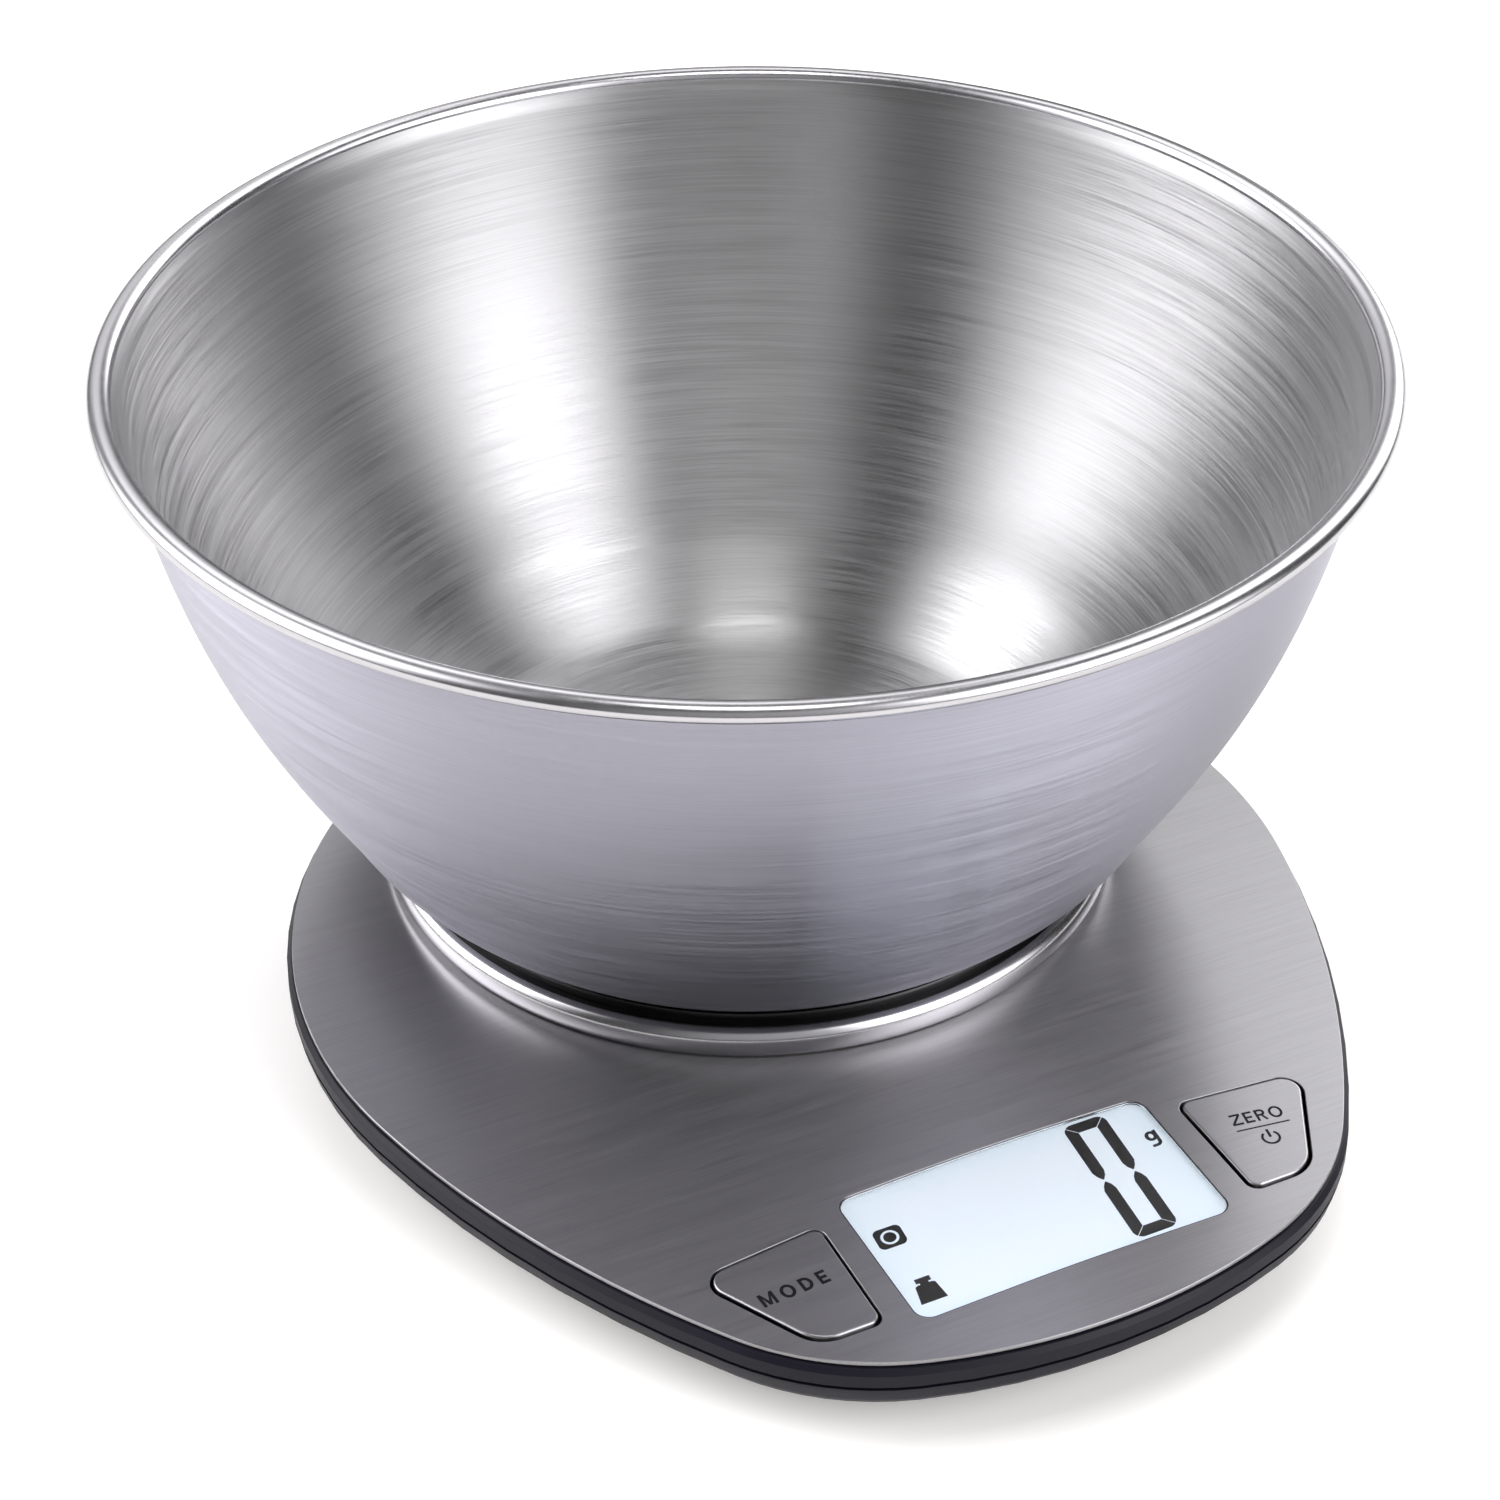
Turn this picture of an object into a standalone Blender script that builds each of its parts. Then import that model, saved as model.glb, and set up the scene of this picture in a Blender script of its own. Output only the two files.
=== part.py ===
"""Digital kitchen scale with a steel mixing bowl.

Blender 4.5, metres, +Z up. The front, with the display and the two keys, faces -Y, and the origin
is on the table under the middle of the whole object. The flat body is an upper housing with a steel
top plate, carried by a bending beam inside a lower housing that stands on four rubber feet.
The bowl stands loose on the top plate.
"""

import math

import bmesh
import bpy
from mathutils import Matrix, Vector

MM = 0.001
GAP = 0.3 * MM  # clearance between neighbouring pieces
SHARP_ANGLE = math.radians(35)

# Driving dimensions of the bowl
RIM_RADIUS = 115 * MM
RIM_HEIGHT = 105.8 * MM  # middle of the rolled rim, above the top plate
RIM_HALF_WIDTH = 2.2 * MM
RIM_HALF_HEIGHT = 1.7 * MM
RIM_START = math.radians(160)  # where the roll leaves the inside of the wall
RIM_SWEEP = math.radians(300)
RIM_STEPS = 11
SHEET = 0.8 * MM
BOWL_FLOOR = 9.3 * MM  # underside of the bowl's floor, above the top plate
FLOOR_RADIUS = 66 * MM  # where the flat floor starts to bend up
FLOOR_BEND = 10 * MM
FLOOR_BEND_END = math.radians(59)
WALL_STATIONS = ((20, 77.8), (30, 83.6), (40, 89.4), (50, 94.6), (60, 99.0), (70, 102.6), (80, 105.5),
                 (90, 107.9), (99, 109.7), (103.4, 110.5))  # height above the plate, outer radius
RING_PROFILE = ((67.6, 9.0), (66.0, 8.4), (65.8, 7.6), (66.8, 6.8), (69.0, 6.2), (70.1, 5.0), (70.4, 3.4),
                (70.1, 1.6), (68.9, 0.3), (66.9, 0.3), (66.9, 4.0), (65.4, 5.6), (64.3, 7.0),
                (64.3, 9.0))  # radius, height above the plate
BEND_STEPS = 4
BOWL_STEPS = 60  # facets around the bowl

# Driving dimensions of the platform: its plan is four tangent arcs, mirrored about its centre line
REAR_RADIUS = 94.6 * MM
REAR_CENTRE = -28.1 * MM  # behind the bowl's axis is positive
REAR_END = math.radians(-13.6)
FLANK_RADIUS = 207 * MM
FLANK_END = math.radians(-35.7)
CORNER_RADIUS = 49.5 * MM
FRONT_RADIUS = 110 * MM
REAR_STEPS = 22
FLANK_STEPS = 7
CORNER_STEPS = 8
FRONT_STEPS = 4
SKIRT = 1.1 * MM  # how far the plastic body stands out past the steel plate

# Heights above the table
PLATE_TOP = 18 * MM
PLATE_UNDER = 17.2 * MM
HOUSING_TOP = 16.9 * MM
CEILING = 15.2 * MM
BASE_UNDER = 2.0 * MM
UPPER_STATIONS = ((-1.3, 15.2), (-1.3, 13.3), (1.1, 13.3), (1.1, 15.8), (0.3, 16.7),
                  (-0.6, 16.9))  # distance outside the plate's edge, height
LOWER_STATIONS = ((-17.5, 3.6), (-13.5, 4.1), (-8.2, 5.6), (-3.8, 8.2), (-1.6, 10.6), (-1.3, 12.7),
                  (1.1, 12.7), (0.6, 10.2), (-1.7, 7.2), (-6.5, 4.4), (-12.5, 2.6), (-16.5, 2.0))

# Places in plan. The bowl stands a little to the right of the platform's centre line.
PLATFORM_X = -3.4 * MM
BOWL_Y_TO_FRONT = 146.3 * MM + SKIRT
BOWL_Y = (BOWL_Y_TO_FRONT - RIM_RADIUS) / 2

# Display window and keys, in plan about the bowl's axis: x, y, corner radius
WINDOW = ((29.9, -133.1, 3), (29.9, -101.8, 3), (0, -100.8, 500), (-29.9, -101.8, 3),
          (-29.9, -133.1, 3), (0, -132.5, 500))
KEY = ((35.2, -130.5, 2.2), (47.1, -130.5, 7), (59.1, -108.6, 3.6), (34.9, -106.2, 2.0))
KEY_LIFT = 0.4 * MM  # how far a key stands above the plate
KEY_UNDER = 16.4 * MM
KEY_FLANGE = 0.9 * MM  # how far the hidden flange reaches past the key's outline
KEY_OPENING = 1.4 * MM
KEY_CENTRE = (45.5 * MM, -118 * MM)
PLUNGER_RADIUS = 1.7 * MM
BOARD = ((36.5, -136.8, 1), (50.5, -114, 1), (50.5, -98.5, 1), (-50.5, -98.5, 1), (-50.5, -114, 1),
         (-36.5, -136.8, 1))
BOARD_UNDER = 10.3 * MM
BOARD_TOP = 11.9 * MM
BOARD_SCREWS = ((44, -101.8), (-44, -101.8), (35.9, -134.2), (-35.9, -134.2))
BOARD_SCREW_HOLE = 1.4 * MM
BOARD_SCREW_TIP = 14.6 * MM
BOSS_RADIUS = 2.2 * MM
GLASS_HALF = 32 * MM
GLASS_FRONT = -134.6 * MM
GLASS_REAR = -100.2 * MM

# Weighing beam
BEAM_FRONT = -46 * MM
BEAM_REAR = 14 * MM
BEAM_HALF = 6 * MM
BEAM_UNDER = 5.3 * MM
BEAM_TOP = 11.9 * MM
FIXED_SCREWS = (-42 * MM, -32 * MM)
LOADED_SCREWS = (0 * MM, 10 * MM)
LOADED_SEAT = 16.2 * MM  # underside of the screw heads
FIXED_SEAT = 3.4 * MM
SCREW_RADIUS = 1.5 * MM
SCREW_HOLE = 1.8 * MM
SCREW_HEAD = 2.8 * MM
SCREW_SEAT = 3.2 * MM

# Battery bay
BATTERY_LENGTH = 44.3 * MM
BATTERY_PROFILE = ((0, 44.3), (1.8, 44.3), (1.8, 43.5), (4.7, 43.5), (5.1, 43.1), (5.1, 0.3), (4.8, 0),
                   (0, 0))  # radius, distance from the flat end
BATTERY_HEIGHT = 9.0 * MM
BATTERY_ROWS = (25.2 * MM, 36.2 * MM)
BAY_HALF = 25.5 * MM
BAY_FRONT = 19.5 * MM
BAY_REAR = 41.9 * MM
BAY_WALL = 1.5 * MM

FEET = ((-44, -98), (44, -98), (-46, 20), (46, 20))
FOOT_RADIUS = 7 * MM
FOOT_PROFILE = ((0, 2.6), (7, 2.6), (7, 0.5), (6.5, 0), (0, 0))  # radius, height

for existing in list(bpy.data.objects):
    bpy.data.objects.remove(existing)

parts = bpy.data.collections.new("kitchen_scale")
cutters = bpy.data.collections.new("cutters")
bpy.context.scene.collection.children.link(parts)
bpy.context.scene.collection.children.link(cutters)


def make_material(name, colour, roughness, metallic=0.0):
    material = bpy.data.materials.new(name)
    material.use_nodes = True
    shader = material.node_tree.nodes["Principled BSDF"]
    shader.inputs["Base Color"].default_value = (*colour, 1)
    shader.inputs["Roughness"].default_value = roughness
    shader.inputs["Metallic"].default_value = metallic
    return material


STEEL = make_material("brushed_steel", (0.62, 0.61, 0.63), 0.32, 1.0)
POLISHED = make_material("polished_steel", (0.78, 0.78, 0.8), 0.12, 1.0)
BLACK = make_material("black_plastic", (0.03, 0.03, 0.04), 0.35)
RUBBER = make_material("rubber", (0.05, 0.05, 0.05), 0.8)
DISPLAY = make_material("display", (0.82, 0.91, 0.97), 0.2)
CLEAR = make_material("clear_window", (0.9, 0.95, 1.0), 0.05)
ALUMINIUM = make_material("aluminium", (0.75, 0.76, 0.77), 0.35, 1.0)
BOARD_GREEN = make_material("circuit_board", (0.03, 0.2, 0.08), 0.5)
BATTERY_SKIN = make_material("battery", (0.1, 0.25, 0.45), 0.35)
NICKEL = make_material("nickel", (0.7, 0.68, 0.62), 0.25, 1.0)
WHITE = make_material("white_plastic", (0.85, 0.85, 0.82), 0.5)


def make_empty(name, location):
    empty = bpy.data.objects.new(name, None)
    empty.location = location
    parts.objects.link(empty)
    return empty


platform_frame = make_empty("platform_frame", (PLATFORM_X, BOWL_Y, 0))
bowl_frame = make_empty("bowl_frame", (0, BOWL_Y, PLATE_TOP))


def add(name, mesh, material=None, parent=platform_frame, smooth=False):
    """A part from a mesh. With no material it is a cutter."""
    thing = bpy.data.objects.new(name, mesh)
    thing.parent = parent
    if material is None:
        cutters.objects.link(thing)
        thing.hide_render = True
        thing.display_type = "WIRE"
        return thing
    parts.objects.link(thing)
    mesh.materials.clear()
    mesh.materials.append(material)
    if smooth:
        mesh.shade_smooth()
        mesh.set_sharp_from_angle(angle=SHARP_ANGLE)
    return thing


def combine(target, tool, operation="DIFFERENCE"):
    modifier = target.modifiers.new(tool.name, "BOOLEAN")
    modifier.operation = operation
    modifier.object = tool


def direction(angle):
    return Vector((math.cos(angle), math.sin(angle)))


def arc(centre, radius, start, end, steps):
    return [centre + radius * direction(start + (end - start) * i / steps) for i in range(steps + 1)]


def platform_outline(grow):
    """The platform's plan, moved outward by grow: four tangent arcs down the right side, mirrored."""
    rear = Vector((0, REAR_CENTRE))
    flank = rear - (FLANK_RADIUS - REAR_RADIUS) * direction(REAR_END)
    corner = flank + (FLANK_RADIUS - CORNER_RADIUS) * direction(FLANK_END)
    corner_end = -math.acos(corner.x / (FRONT_RADIUS - CORNER_RADIUS))
    front = corner - (FRONT_RADIUS - CORNER_RADIUS) * direction(corner_end)
    right = arc(rear, REAR_RADIUS + grow, math.pi / 2, REAR_END, REAR_STEPS)
    right += arc(flank, FLANK_RADIUS + grow, REAR_END, FLANK_END, FLANK_STEPS)[1:]
    right += arc(corner, CORNER_RADIUS + grow, FLANK_END, corner_end, CORNER_STEPS)[1:]
    right += arc(front, FRONT_RADIUS + grow, corner_end, -math.pi / 2, FRONT_STEPS)[1:]
    left = [Vector((-point.x, point.y)) for point in right[1:-1]]
    return left + right[::-1]


def rounded(corners, grow=0.0, mirror=False, steps=4):
    """A counter-clockwise outline with filleted corners (x, y, radius in millimetres), grown outward."""
    if mirror:
        corners = [(-x, y, radius) for x, y, radius in reversed(corners)]
    count = len(corners)
    points = [Vector((x, y)) * MM for x, y, radius in corners]
    outline = []
    for i in range(count):
        before = (points[i] - points[i - 1]).normalized()
        after = (points[(i + 1) % count] - points[i]).normalized()
        turn = -before.angle_signed(after)
        side = math.copysign(1, turn)
        normal = Vector((before.y, -before.x))
        bisector = (normal + Vector((after.y, -after.x))).normalized()
        corner = points[i] + bisector * grow / math.cos(turn / 2)
        radius = corners[i][2] * MM + side * grow
        reach = radius * math.tan(abs(turn) / 2)
        centre = corner - before * reach - side * radius * normal
        start_angle = math.atan2(side * normal.y, side * normal.x)
        outline += arc(centre, radius, start_angle, start_angle + turn, steps)
    return outline


def box_outline(left, right, front, rear, radius=1.0):
    """Corners of a rounded rectangle, in millimetres, for rounded()."""
    return ((left, front, radius), (right, front, radius), (right, rear, radius), (left, rear, radius))


def flat(name, outlines, low, high, material=None, parent=platform_frame, edge=0.0):
    """A flat piece from closed outlines, the later ones being holes, with rounded edges if edge is set."""
    curve = bpy.data.curves.new(name, "CURVE")
    curve.dimensions = "2D"
    curve.fill_mode = "BOTH"
    curve.extrude = (high - low) / 2 - edge
    curve.bevel_depth = edge
    curve.bevel_resolution = 2
    curve.offset = -edge
    for outline in outlines:
        spline = curve.splines.new("POLY")
        spline.points.add(len(outline) - 1)
        for point, place in zip(spline.points, outline):
            point.co = (place.x, place.y, 0, 1)
        spline.use_cyclic_u = True
    return add(name, curve_mesh(curve, Matrix.Translation((0, 0, (low + high) / 2))), material, parent)


def curve_mesh(curve, matrix):
    """A curve's evaluated mesh, with its caps welded on."""
    guide = bpy.data.objects.new("guide", curve)
    bpy.context.scene.collection.objects.link(guide)
    evaluated = guide.evaluated_get(bpy.context.evaluated_depsgraph_get())
    mesh = bpy.data.meshes.new_from_object(evaluated)
    bpy.data.objects.remove(guide)
    shape = bmesh.new()
    shape.from_mesh(mesh)
    bmesh.ops.remove_doubles(shape, verts=shape.verts, dist=0.005 * MM)
    bmesh.ops.recalc_face_normals(shape, faces=shape.faces)
    shape.to_mesh(mesh)
    shape.free()
    mesh.transform(matrix)
    return mesh


def box(name, low, high, material=None, parent=platform_frame):
    """A box between two corners."""
    shape = bmesh.new()
    bmesh.ops.create_cube(shape, size=1)
    low = Vector(low)
    size = Vector(high) - low
    bmesh.ops.transform(shape, matrix=Matrix.Diagonal((*size, 1)), verts=shape.verts)
    bmesh.ops.translate(shape, vec=low + size / 2, verts=shape.verts)
    return add(name, mesh_of(name, shape), material, parent)


def cylinder(name, centre, radius, low, high, material=None, parent=platform_frame, axis="Z", sides=20):
    """A cylinder about a vertical axis through centre (x, y), or along X about centre (y, z)."""
    shape = bmesh.new()
    bmesh.ops.create_cone(shape, cap_ends=True, segments=sides, radius1=radius, radius2=radius,
                          depth=high - low)
    if axis == "X":
        bmesh.ops.rotate(shape, cent=(0, 0, 0), matrix=Matrix.Rotation(math.pi / 2, 3, "Y"),
                         verts=shape.verts)
        middle = ((low + high) / 2, centre[0], centre[1])
    else:
        middle = (centre[0], centre[1], (low + high) / 2)
    bmesh.ops.translate(shape, vec=middle, verts=shape.verts)
    return add(name, mesh_of(name, shape), material, parent, smooth=material is not None)


def mesh_of(name, shape):
    mesh = bpy.data.meshes.new(name)
    shape.to_mesh(mesh)
    shape.free()
    return mesh


def turned(name, profile, material, parent, steps, closed=False):
    """A turned solid: profile runs down the outer side, as (radius, height)."""
    shape = bmesh.new()
    points = [shape.verts.new((radius, 0, height)) for radius, height in profile]
    for first, second in zip(points, points[1:]):
        shape.edges.new((first, second))
    if closed:
        shape.edges.new((points[-1], points[0]))
    thing = add(name, mesh_of(name, shape), material, parent)
    screw = thing.modifiers.new("Screw", "SCREW")
    screw.steps = steps
    screw.render_steps = steps
    screw.use_merge_vertices = True
    screw.merge_threshold = 0.00001
    return thing


def lofted(name, stations, material):
    """A solid through the platform's outline at each (grow, height). Both end loops are capped."""
    shape = bmesh.new()
    loops = []
    for grow, height in stations:
        loops.append([shape.verts.new((p.x, p.y, height * MM)) for p in platform_outline(grow * MM)])
    for lower, upper in zip(loops, loops[1:]):
        for i in range(len(lower)):
            shape.faces.new((lower[i - 1], lower[i], upper[i], upper[i - 1]))
    shape.faces.new(loops[0])
    shape.faces.new(loops[-1])
    bmesh.ops.recalc_face_normals(shape, faces=shape.faces)
    return add(name, mesh_of(name, shape), material)


def wire(name, route, radius, material, spacing):
    """A round wire along a smooth curve through the route's points."""
    points = [Vector(place) * MM for place in route]
    ends = [2 * points[0] - points[1]] + points + [2 * points[-1] - points[-2]]
    smooth = []
    for before, start, end, after in zip(ends, ends[1:], ends[2:], ends[3:]):
        count = max(1, round((end - start).length / spacing))
        for i in range(count):
            t = i / count
            smooth.append(0.5 * (2 * start + (end - before) * t
                                 + (2 * before - 5 * start + 4 * end - after) * t ** 2
                                 + (3 * start - before - 3 * end + after) * t ** 3))
    smooth.append(points[-1])
    return add(name, curve_mesh(tube_curve(name, smooth, radius), Matrix()), material, smooth=True)


def tube_curve(name, points, radius):
    curve = bpy.data.curves.new(name, "CURVE")
    curve.dimensions = "3D"
    curve.bevel_depth = radius
    curve.bevel_resolution = 2
    curve.use_fill_caps = True
    spline = curve.splines.new("POLY")
    spline.points.add(len(points) - 1)
    for point, place in zip(spline.points, points):
        point.co = (*place, 1)
    return curve


def make_bowl():
    """One drawn sheet: flat floor, rounded bend, flaring wall and a rolled rim."""
    outer = [(radius * MM, height * MM) for height, radius in reversed(WALL_STATIONS)]
    for i in range(BEND_STEPS + 1):
        angle = FLOOR_BEND_END * (1 - i / BEND_STEPS)
        outer.append((FLOOR_RADIUS + FLOOR_BEND * math.sin(angle),
                      BOWL_FLOOR + FLOOR_BEND * (1 - math.cos(angle))))
    inner = []
    for i in range(len(outer)):
        above = Vector(outer[max(i - 1, 0)])
        below = Vector(outer[min(i + 1, len(outer) - 1)])
        along = (above - below).normalized()
        inward = Vector((-along.y, along.x)) * SHEET
        inner.append((outer[i][0] + inward.x, outer[i][1] + inward.y))
    rim = []
    for i in range(RIM_STEPS + 1):
        angle = RIM_START - RIM_SWEEP * i / RIM_STEPS
        rim.append((RIM_RADIUS - RIM_HALF_WIDTH + RIM_HALF_WIDTH * math.cos(angle),
                    RIM_HEIGHT + RIM_HALF_HEIGHT * math.sin(angle)))
    profile = [(0, BOWL_FLOOR + SHEET)] + inner[::-1] + rim + outer + [(0, BOWL_FLOOR)]
    turned("mixing_bowl", profile, STEEL, bowl_frame, BOWL_STEPS)


def make_foot_ring():
    """A polished ring under the bowl, drawn in to a neck where it meets the floor."""
    profile = [(radius * MM, height * MM) for radius, height in RING_PROFILE]
    turned("bowl_foot_ring", profile, POLISHED, bowl_frame, BOWL_STEPS, closed=True)


def make_top_plate():
    holes = [rounded(WINDOW), rounded(KEY, GAP), rounded(KEY, GAP, mirror=True)]
    flat("top_plate", [platform_outline(0)] + holes, PLATE_UNDER, PLATE_TOP, STEEL)


def make_upper_housing():
    housing = lofted("upper_housing", UPPER_STATIONS, BLACK)
    for i, (x, y) in enumerate(BOARD_SCREWS):
        boss = cylinder(f"boss_{i}", (x * MM, y * MM), BOSS_RADIUS, BOARD_TOP + GAP, CEILING + GAP)
        combine(housing, boss, "UNION")
        hole = cylinder(f"boss_hole_{i}", (x * MM, y * MM), BOARD_SCREW_HOLE, BOARD_TOP,
                        BOARD_SCREW_TIP + GAP)
        combine(housing, hole)
    glass = box("glass_opening", (-GLASS_HALF - GAP, GLASS_FRONT - GAP, CEILING - MM),
                (GLASS_HALF + GAP, GLASS_REAR + GAP, PLATE_TOP))
    combine(housing, glass)
    for side in (False, True):
        opening = flat(f"key_opening_{side:d}", [rounded(KEY, KEY_OPENING, side)], CEILING - MM, PLATE_TOP)
        combine(housing, opening)
    for i, y in enumerate(LOADED_SCREWS):
        combine(housing, cylinder(f"loaded_hole_{i}", (0, y), SCREW_HOLE, CEILING - MM, PLATE_TOP))
        combine(housing, cylinder(f"loaded_seat_{i}", (0, y), SCREW_SEAT, LOADED_SEAT - GAP, PLATE_TOP))


def make_display():
    flat("lcd_lens", [rounded(WINDOW, -GAP)], HOUSING_TOP + GAP, PLATE_TOP - 0.1 * MM, CLEAR)
    box("lcd_glass", (-GLASS_HALF, GLASS_FRONT, 14.9 * MM), (GLASS_HALF, GLASS_REAR, HOUSING_TOP), DISPLAY)
    box("lcd_backlight", (-31 * MM, -131 * MM, BOARD_TOP + GAP), (31 * MM, -101 * MM, 14.6 * MM), WHITE)
    box("zebra_strip", (-29 * MM, -133.8 * MM, BOARD_TOP + GAP), (29 * MM, -131.6 * MM, 14.6 * MM), RUBBER)
    frame = box("lcd_frame", (-33.2 * MM, -135.8 * MM, BOARD_TOP + GAP),
                (33.2 * MM, -99 * MM, 14.8 * MM), BLACK)
    combine(frame, box("frame_opening", (-31.4 * MM, -134.2 * MM, BOARD_TOP),
                       (31.4 * MM, -100.6 * MM, CEILING)))
    combine(frame, box("glass_rebate", (-GLASS_HALF - GAP, GLASS_FRONT - GAP, 14.6 * MM),
                       (GLASS_HALF + GAP, GLASS_REAR + GAP, CEILING)))


def make_key(name, mirror):
    """A steel-faced key with a hidden flange, on a rounded cap that rises through the plate."""
    x = -KEY_CENTRE[0] if mirror else KEY_CENTRE[0]
    joint = make_empty(f"{name}_joint", (x, KEY_CENTRE[1], 0))
    joint.parent = platform_frame
    local = Vector((x, KEY_CENTRE[1]))
    cap = [point - local for point in rounded(KEY, -GAP, mirror)]
    flange = [point - local for point in rounded(KEY, KEY_FLANGE, mirror)]
    key = flat(f"{name}_key", [cap], KEY_UNDER, PLATE_TOP + KEY_LIFT, STEEL, joint, edge=0.4 * MM)
    combine(key, flat(f"{name}_flange", [flange], KEY_UNDER - 0.8 * MM, KEY_UNDER + GAP, None, joint),
            "UNION")
    cylinder(f"{name}_plunger", (0, 0), PLUNGER_RADIUS, 13.3 * MM, 15.3 * MM, WHITE, joint, sides=16)
    body = box(f"{name}_switch", (x - 3 * MM, KEY_CENTRE[1] - 3 * MM, BOARD_TOP + GAP),
               (x + 3 * MM, KEY_CENTRE[1] + 3 * MM, 14.3 * MM), BLACK)
    combine(body, cylinder(f"{name}_bore", (x, KEY_CENTRE[1]), PLUNGER_RADIUS + GAP, 12.6 * MM, CEILING))


def make_board():
    holes = [arc(Vector((x, y)) * MM, BOARD_SCREW_HOLE, 0, math.tau * 15 / 16, 15) for x, y in BOARD_SCREWS]
    flat("pcb", [rounded(BOARD)] + holes, BOARD_UNDER, BOARD_TOP, BOARD_GREEN)
    for i, (x, y) in enumerate(BOARD_SCREWS):
        make_screw(f"pcb_screw_{i + 1}", (x * MM, y * MM), 1.1 * MM, 2.1 * MM, BOARD_UNDER - GAP,
                   -0.7 * MM, BOARD_SCREW_TIP)
    cylinder("pcb_chip", (0, -118 * MM), 6 * MM, 8.8 * MM, BOARD_UNDER - GAP, BLACK)
    for name, x in (("sensor_connector", -20), ("battery_connector", 20)):
        box(name, ((x - 4) * MM, -106 * MM, 6.4 * MM), ((x + 4) * MM, -100 * MM, BOARD_UNDER - GAP), WHITE)


def make_screw(name, centre, shaft, head, seat, head_height, tip, socket=False):
    """A screw whose head sits on height seat, with its shaft running to height tip."""
    low = min(seat, seat + head_height)
    high = max(seat, seat + head_height)
    screw = cylinder(name, centre, head, low, high, NICKEL)
    shank = cylinder(f"{name}_shank", centre, shaft, min(seat - 0.1 * MM, tip), max(seat + 0.1 * MM, tip))
    combine(screw, shank, "UNION")
    if socket:
        outer = seat + head_height
        recess = cylinder(f"{name}_socket", centre, 1.4 * MM, outer - 0.6 * MM, outer + 0.6 * MM, sides=6)
        combine(screw, recess)


def make_beam():
    """The weighing beam, with two joined bores that let its middle bend."""
    beam = box("load_cell", (-BEAM_HALF, BEAM_FRONT, BEAM_UNDER), (BEAM_HALF, BEAM_REAR, BEAM_TOP), ALUMINIUM)
    middle = (BEAM_FRONT + BEAM_REAR) / 2
    height = (BEAM_UNDER + BEAM_TOP) / 2
    for i, shift in enumerate((-5 * MM, 5 * MM)):
        bore = cylinder(f"beam_bore_{i}", (middle + shift, height), 2.2 * MM, -2 * BEAM_HALF,
                        2 * BEAM_HALF, axis="X")
        combine(beam, bore)
    combine(beam, box("beam_slot", (-2 * BEAM_HALF, middle - 5 * MM, height - 0.6 * MM),
                      (2 * BEAM_HALF, middle + 5 * MM, height + 0.6 * MM)))
    spacer = box("load_cell_spacer", (-BEAM_HALF, -5 * MM, BEAM_TOP + 0.5 * MM),
                 (BEAM_HALF, 15 * MM, CEILING - GAP), BLACK)
    for i, y in enumerate(FIXED_SCREWS + LOADED_SCREWS):
        hole = cylinder(f"beam_hole_{i}", (0, y), SCREW_HOLE, BEAM_UNDER - MM, CEILING)
        combine(beam, hole)
        combine(spacer, hole)
    for i, y in enumerate(FIXED_SCREWS):
        make_screw(f"load_cell_screw_{i + 1}", (0, y), SCREW_RADIUS, SCREW_HEAD, FIXED_SEAT, -1.1 * MM,
                   10.5 * MM, socket=True)
    for i, y in enumerate(LOADED_SCREWS):
        make_screw(f"load_cell_screw_{i + 3}", (0, y), SCREW_RADIUS, SCREW_HEAD, LOADED_SEAT, 0.6 * MM,
                   7 * MM)
    box("gauge_potting", (-4.5 * MM, -23 * MM, BEAM_TOP + GAP), (4.5 * MM, -9 * MM, 13 * MM), WHITE)


def make_lower_housing():
    base = lofted("lower_housing", LOWER_STATIONS, BLACK)
    pad = box("beam_pad", (-7 * MM, BEAM_FRONT - MM, 3 * MM), (7 * MM, -27 * MM, BEAM_UNDER - GAP))
    combine(base, pad, "UNION")
    sill = box("bay_sill", (-30 * MM, 16.2 * MM, 3.1 * MM), (30 * MM, 45 * MM, 5 * MM))
    combine(base, sill, "UNION")
    walls = box("bay_walls", (-BAY_HALF - BAY_WALL, BAY_FRONT - BAY_WALL, 4 * MM),
                (BAY_HALF + BAY_WALL, BAY_REAR + BAY_WALL, 12.5 * MM))
    combine(base, walls, "UNION")
    combine(base, box("bay", (-BAY_HALF, BAY_FRONT, 0), (BAY_HALF, BAY_REAR, CEILING)))
    recess = rounded(box_outline(-27.5, 27.5, 17.5, 43.9, 2))
    combine(base, flat("cover_recess", [recess], 0, 3.5 * MM))
    for i, y in enumerate(FIXED_SCREWS):
        combine(base, cylinder(f"fixed_hole_{i}", (0, y), SCREW_HOLE, 0, BEAM_UNDER))
        combine(base, cylinder(f"fixed_seat_{i}", (0, y), SCREW_SEAT, 0, FIXED_SEAT + GAP))
    for i, (x, y) in enumerate(FEET):
        combine(base, cylinder(f"foot_seat_{i}", (x * MM, y * MM), FOOT_RADIUS + GAP, 0, 2.9 * MM, sides=32))


def make_feet():
    profile = [(radius * MM, height * MM) for radius, height in FOOT_PROFILE]
    for i, (x, y) in enumerate(FEET):
        foot = turned(f"foot_{i + 1}", profile, RUBBER, platform_frame, 32)
        foot.location = (x * MM, y * MM, 0)


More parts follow.
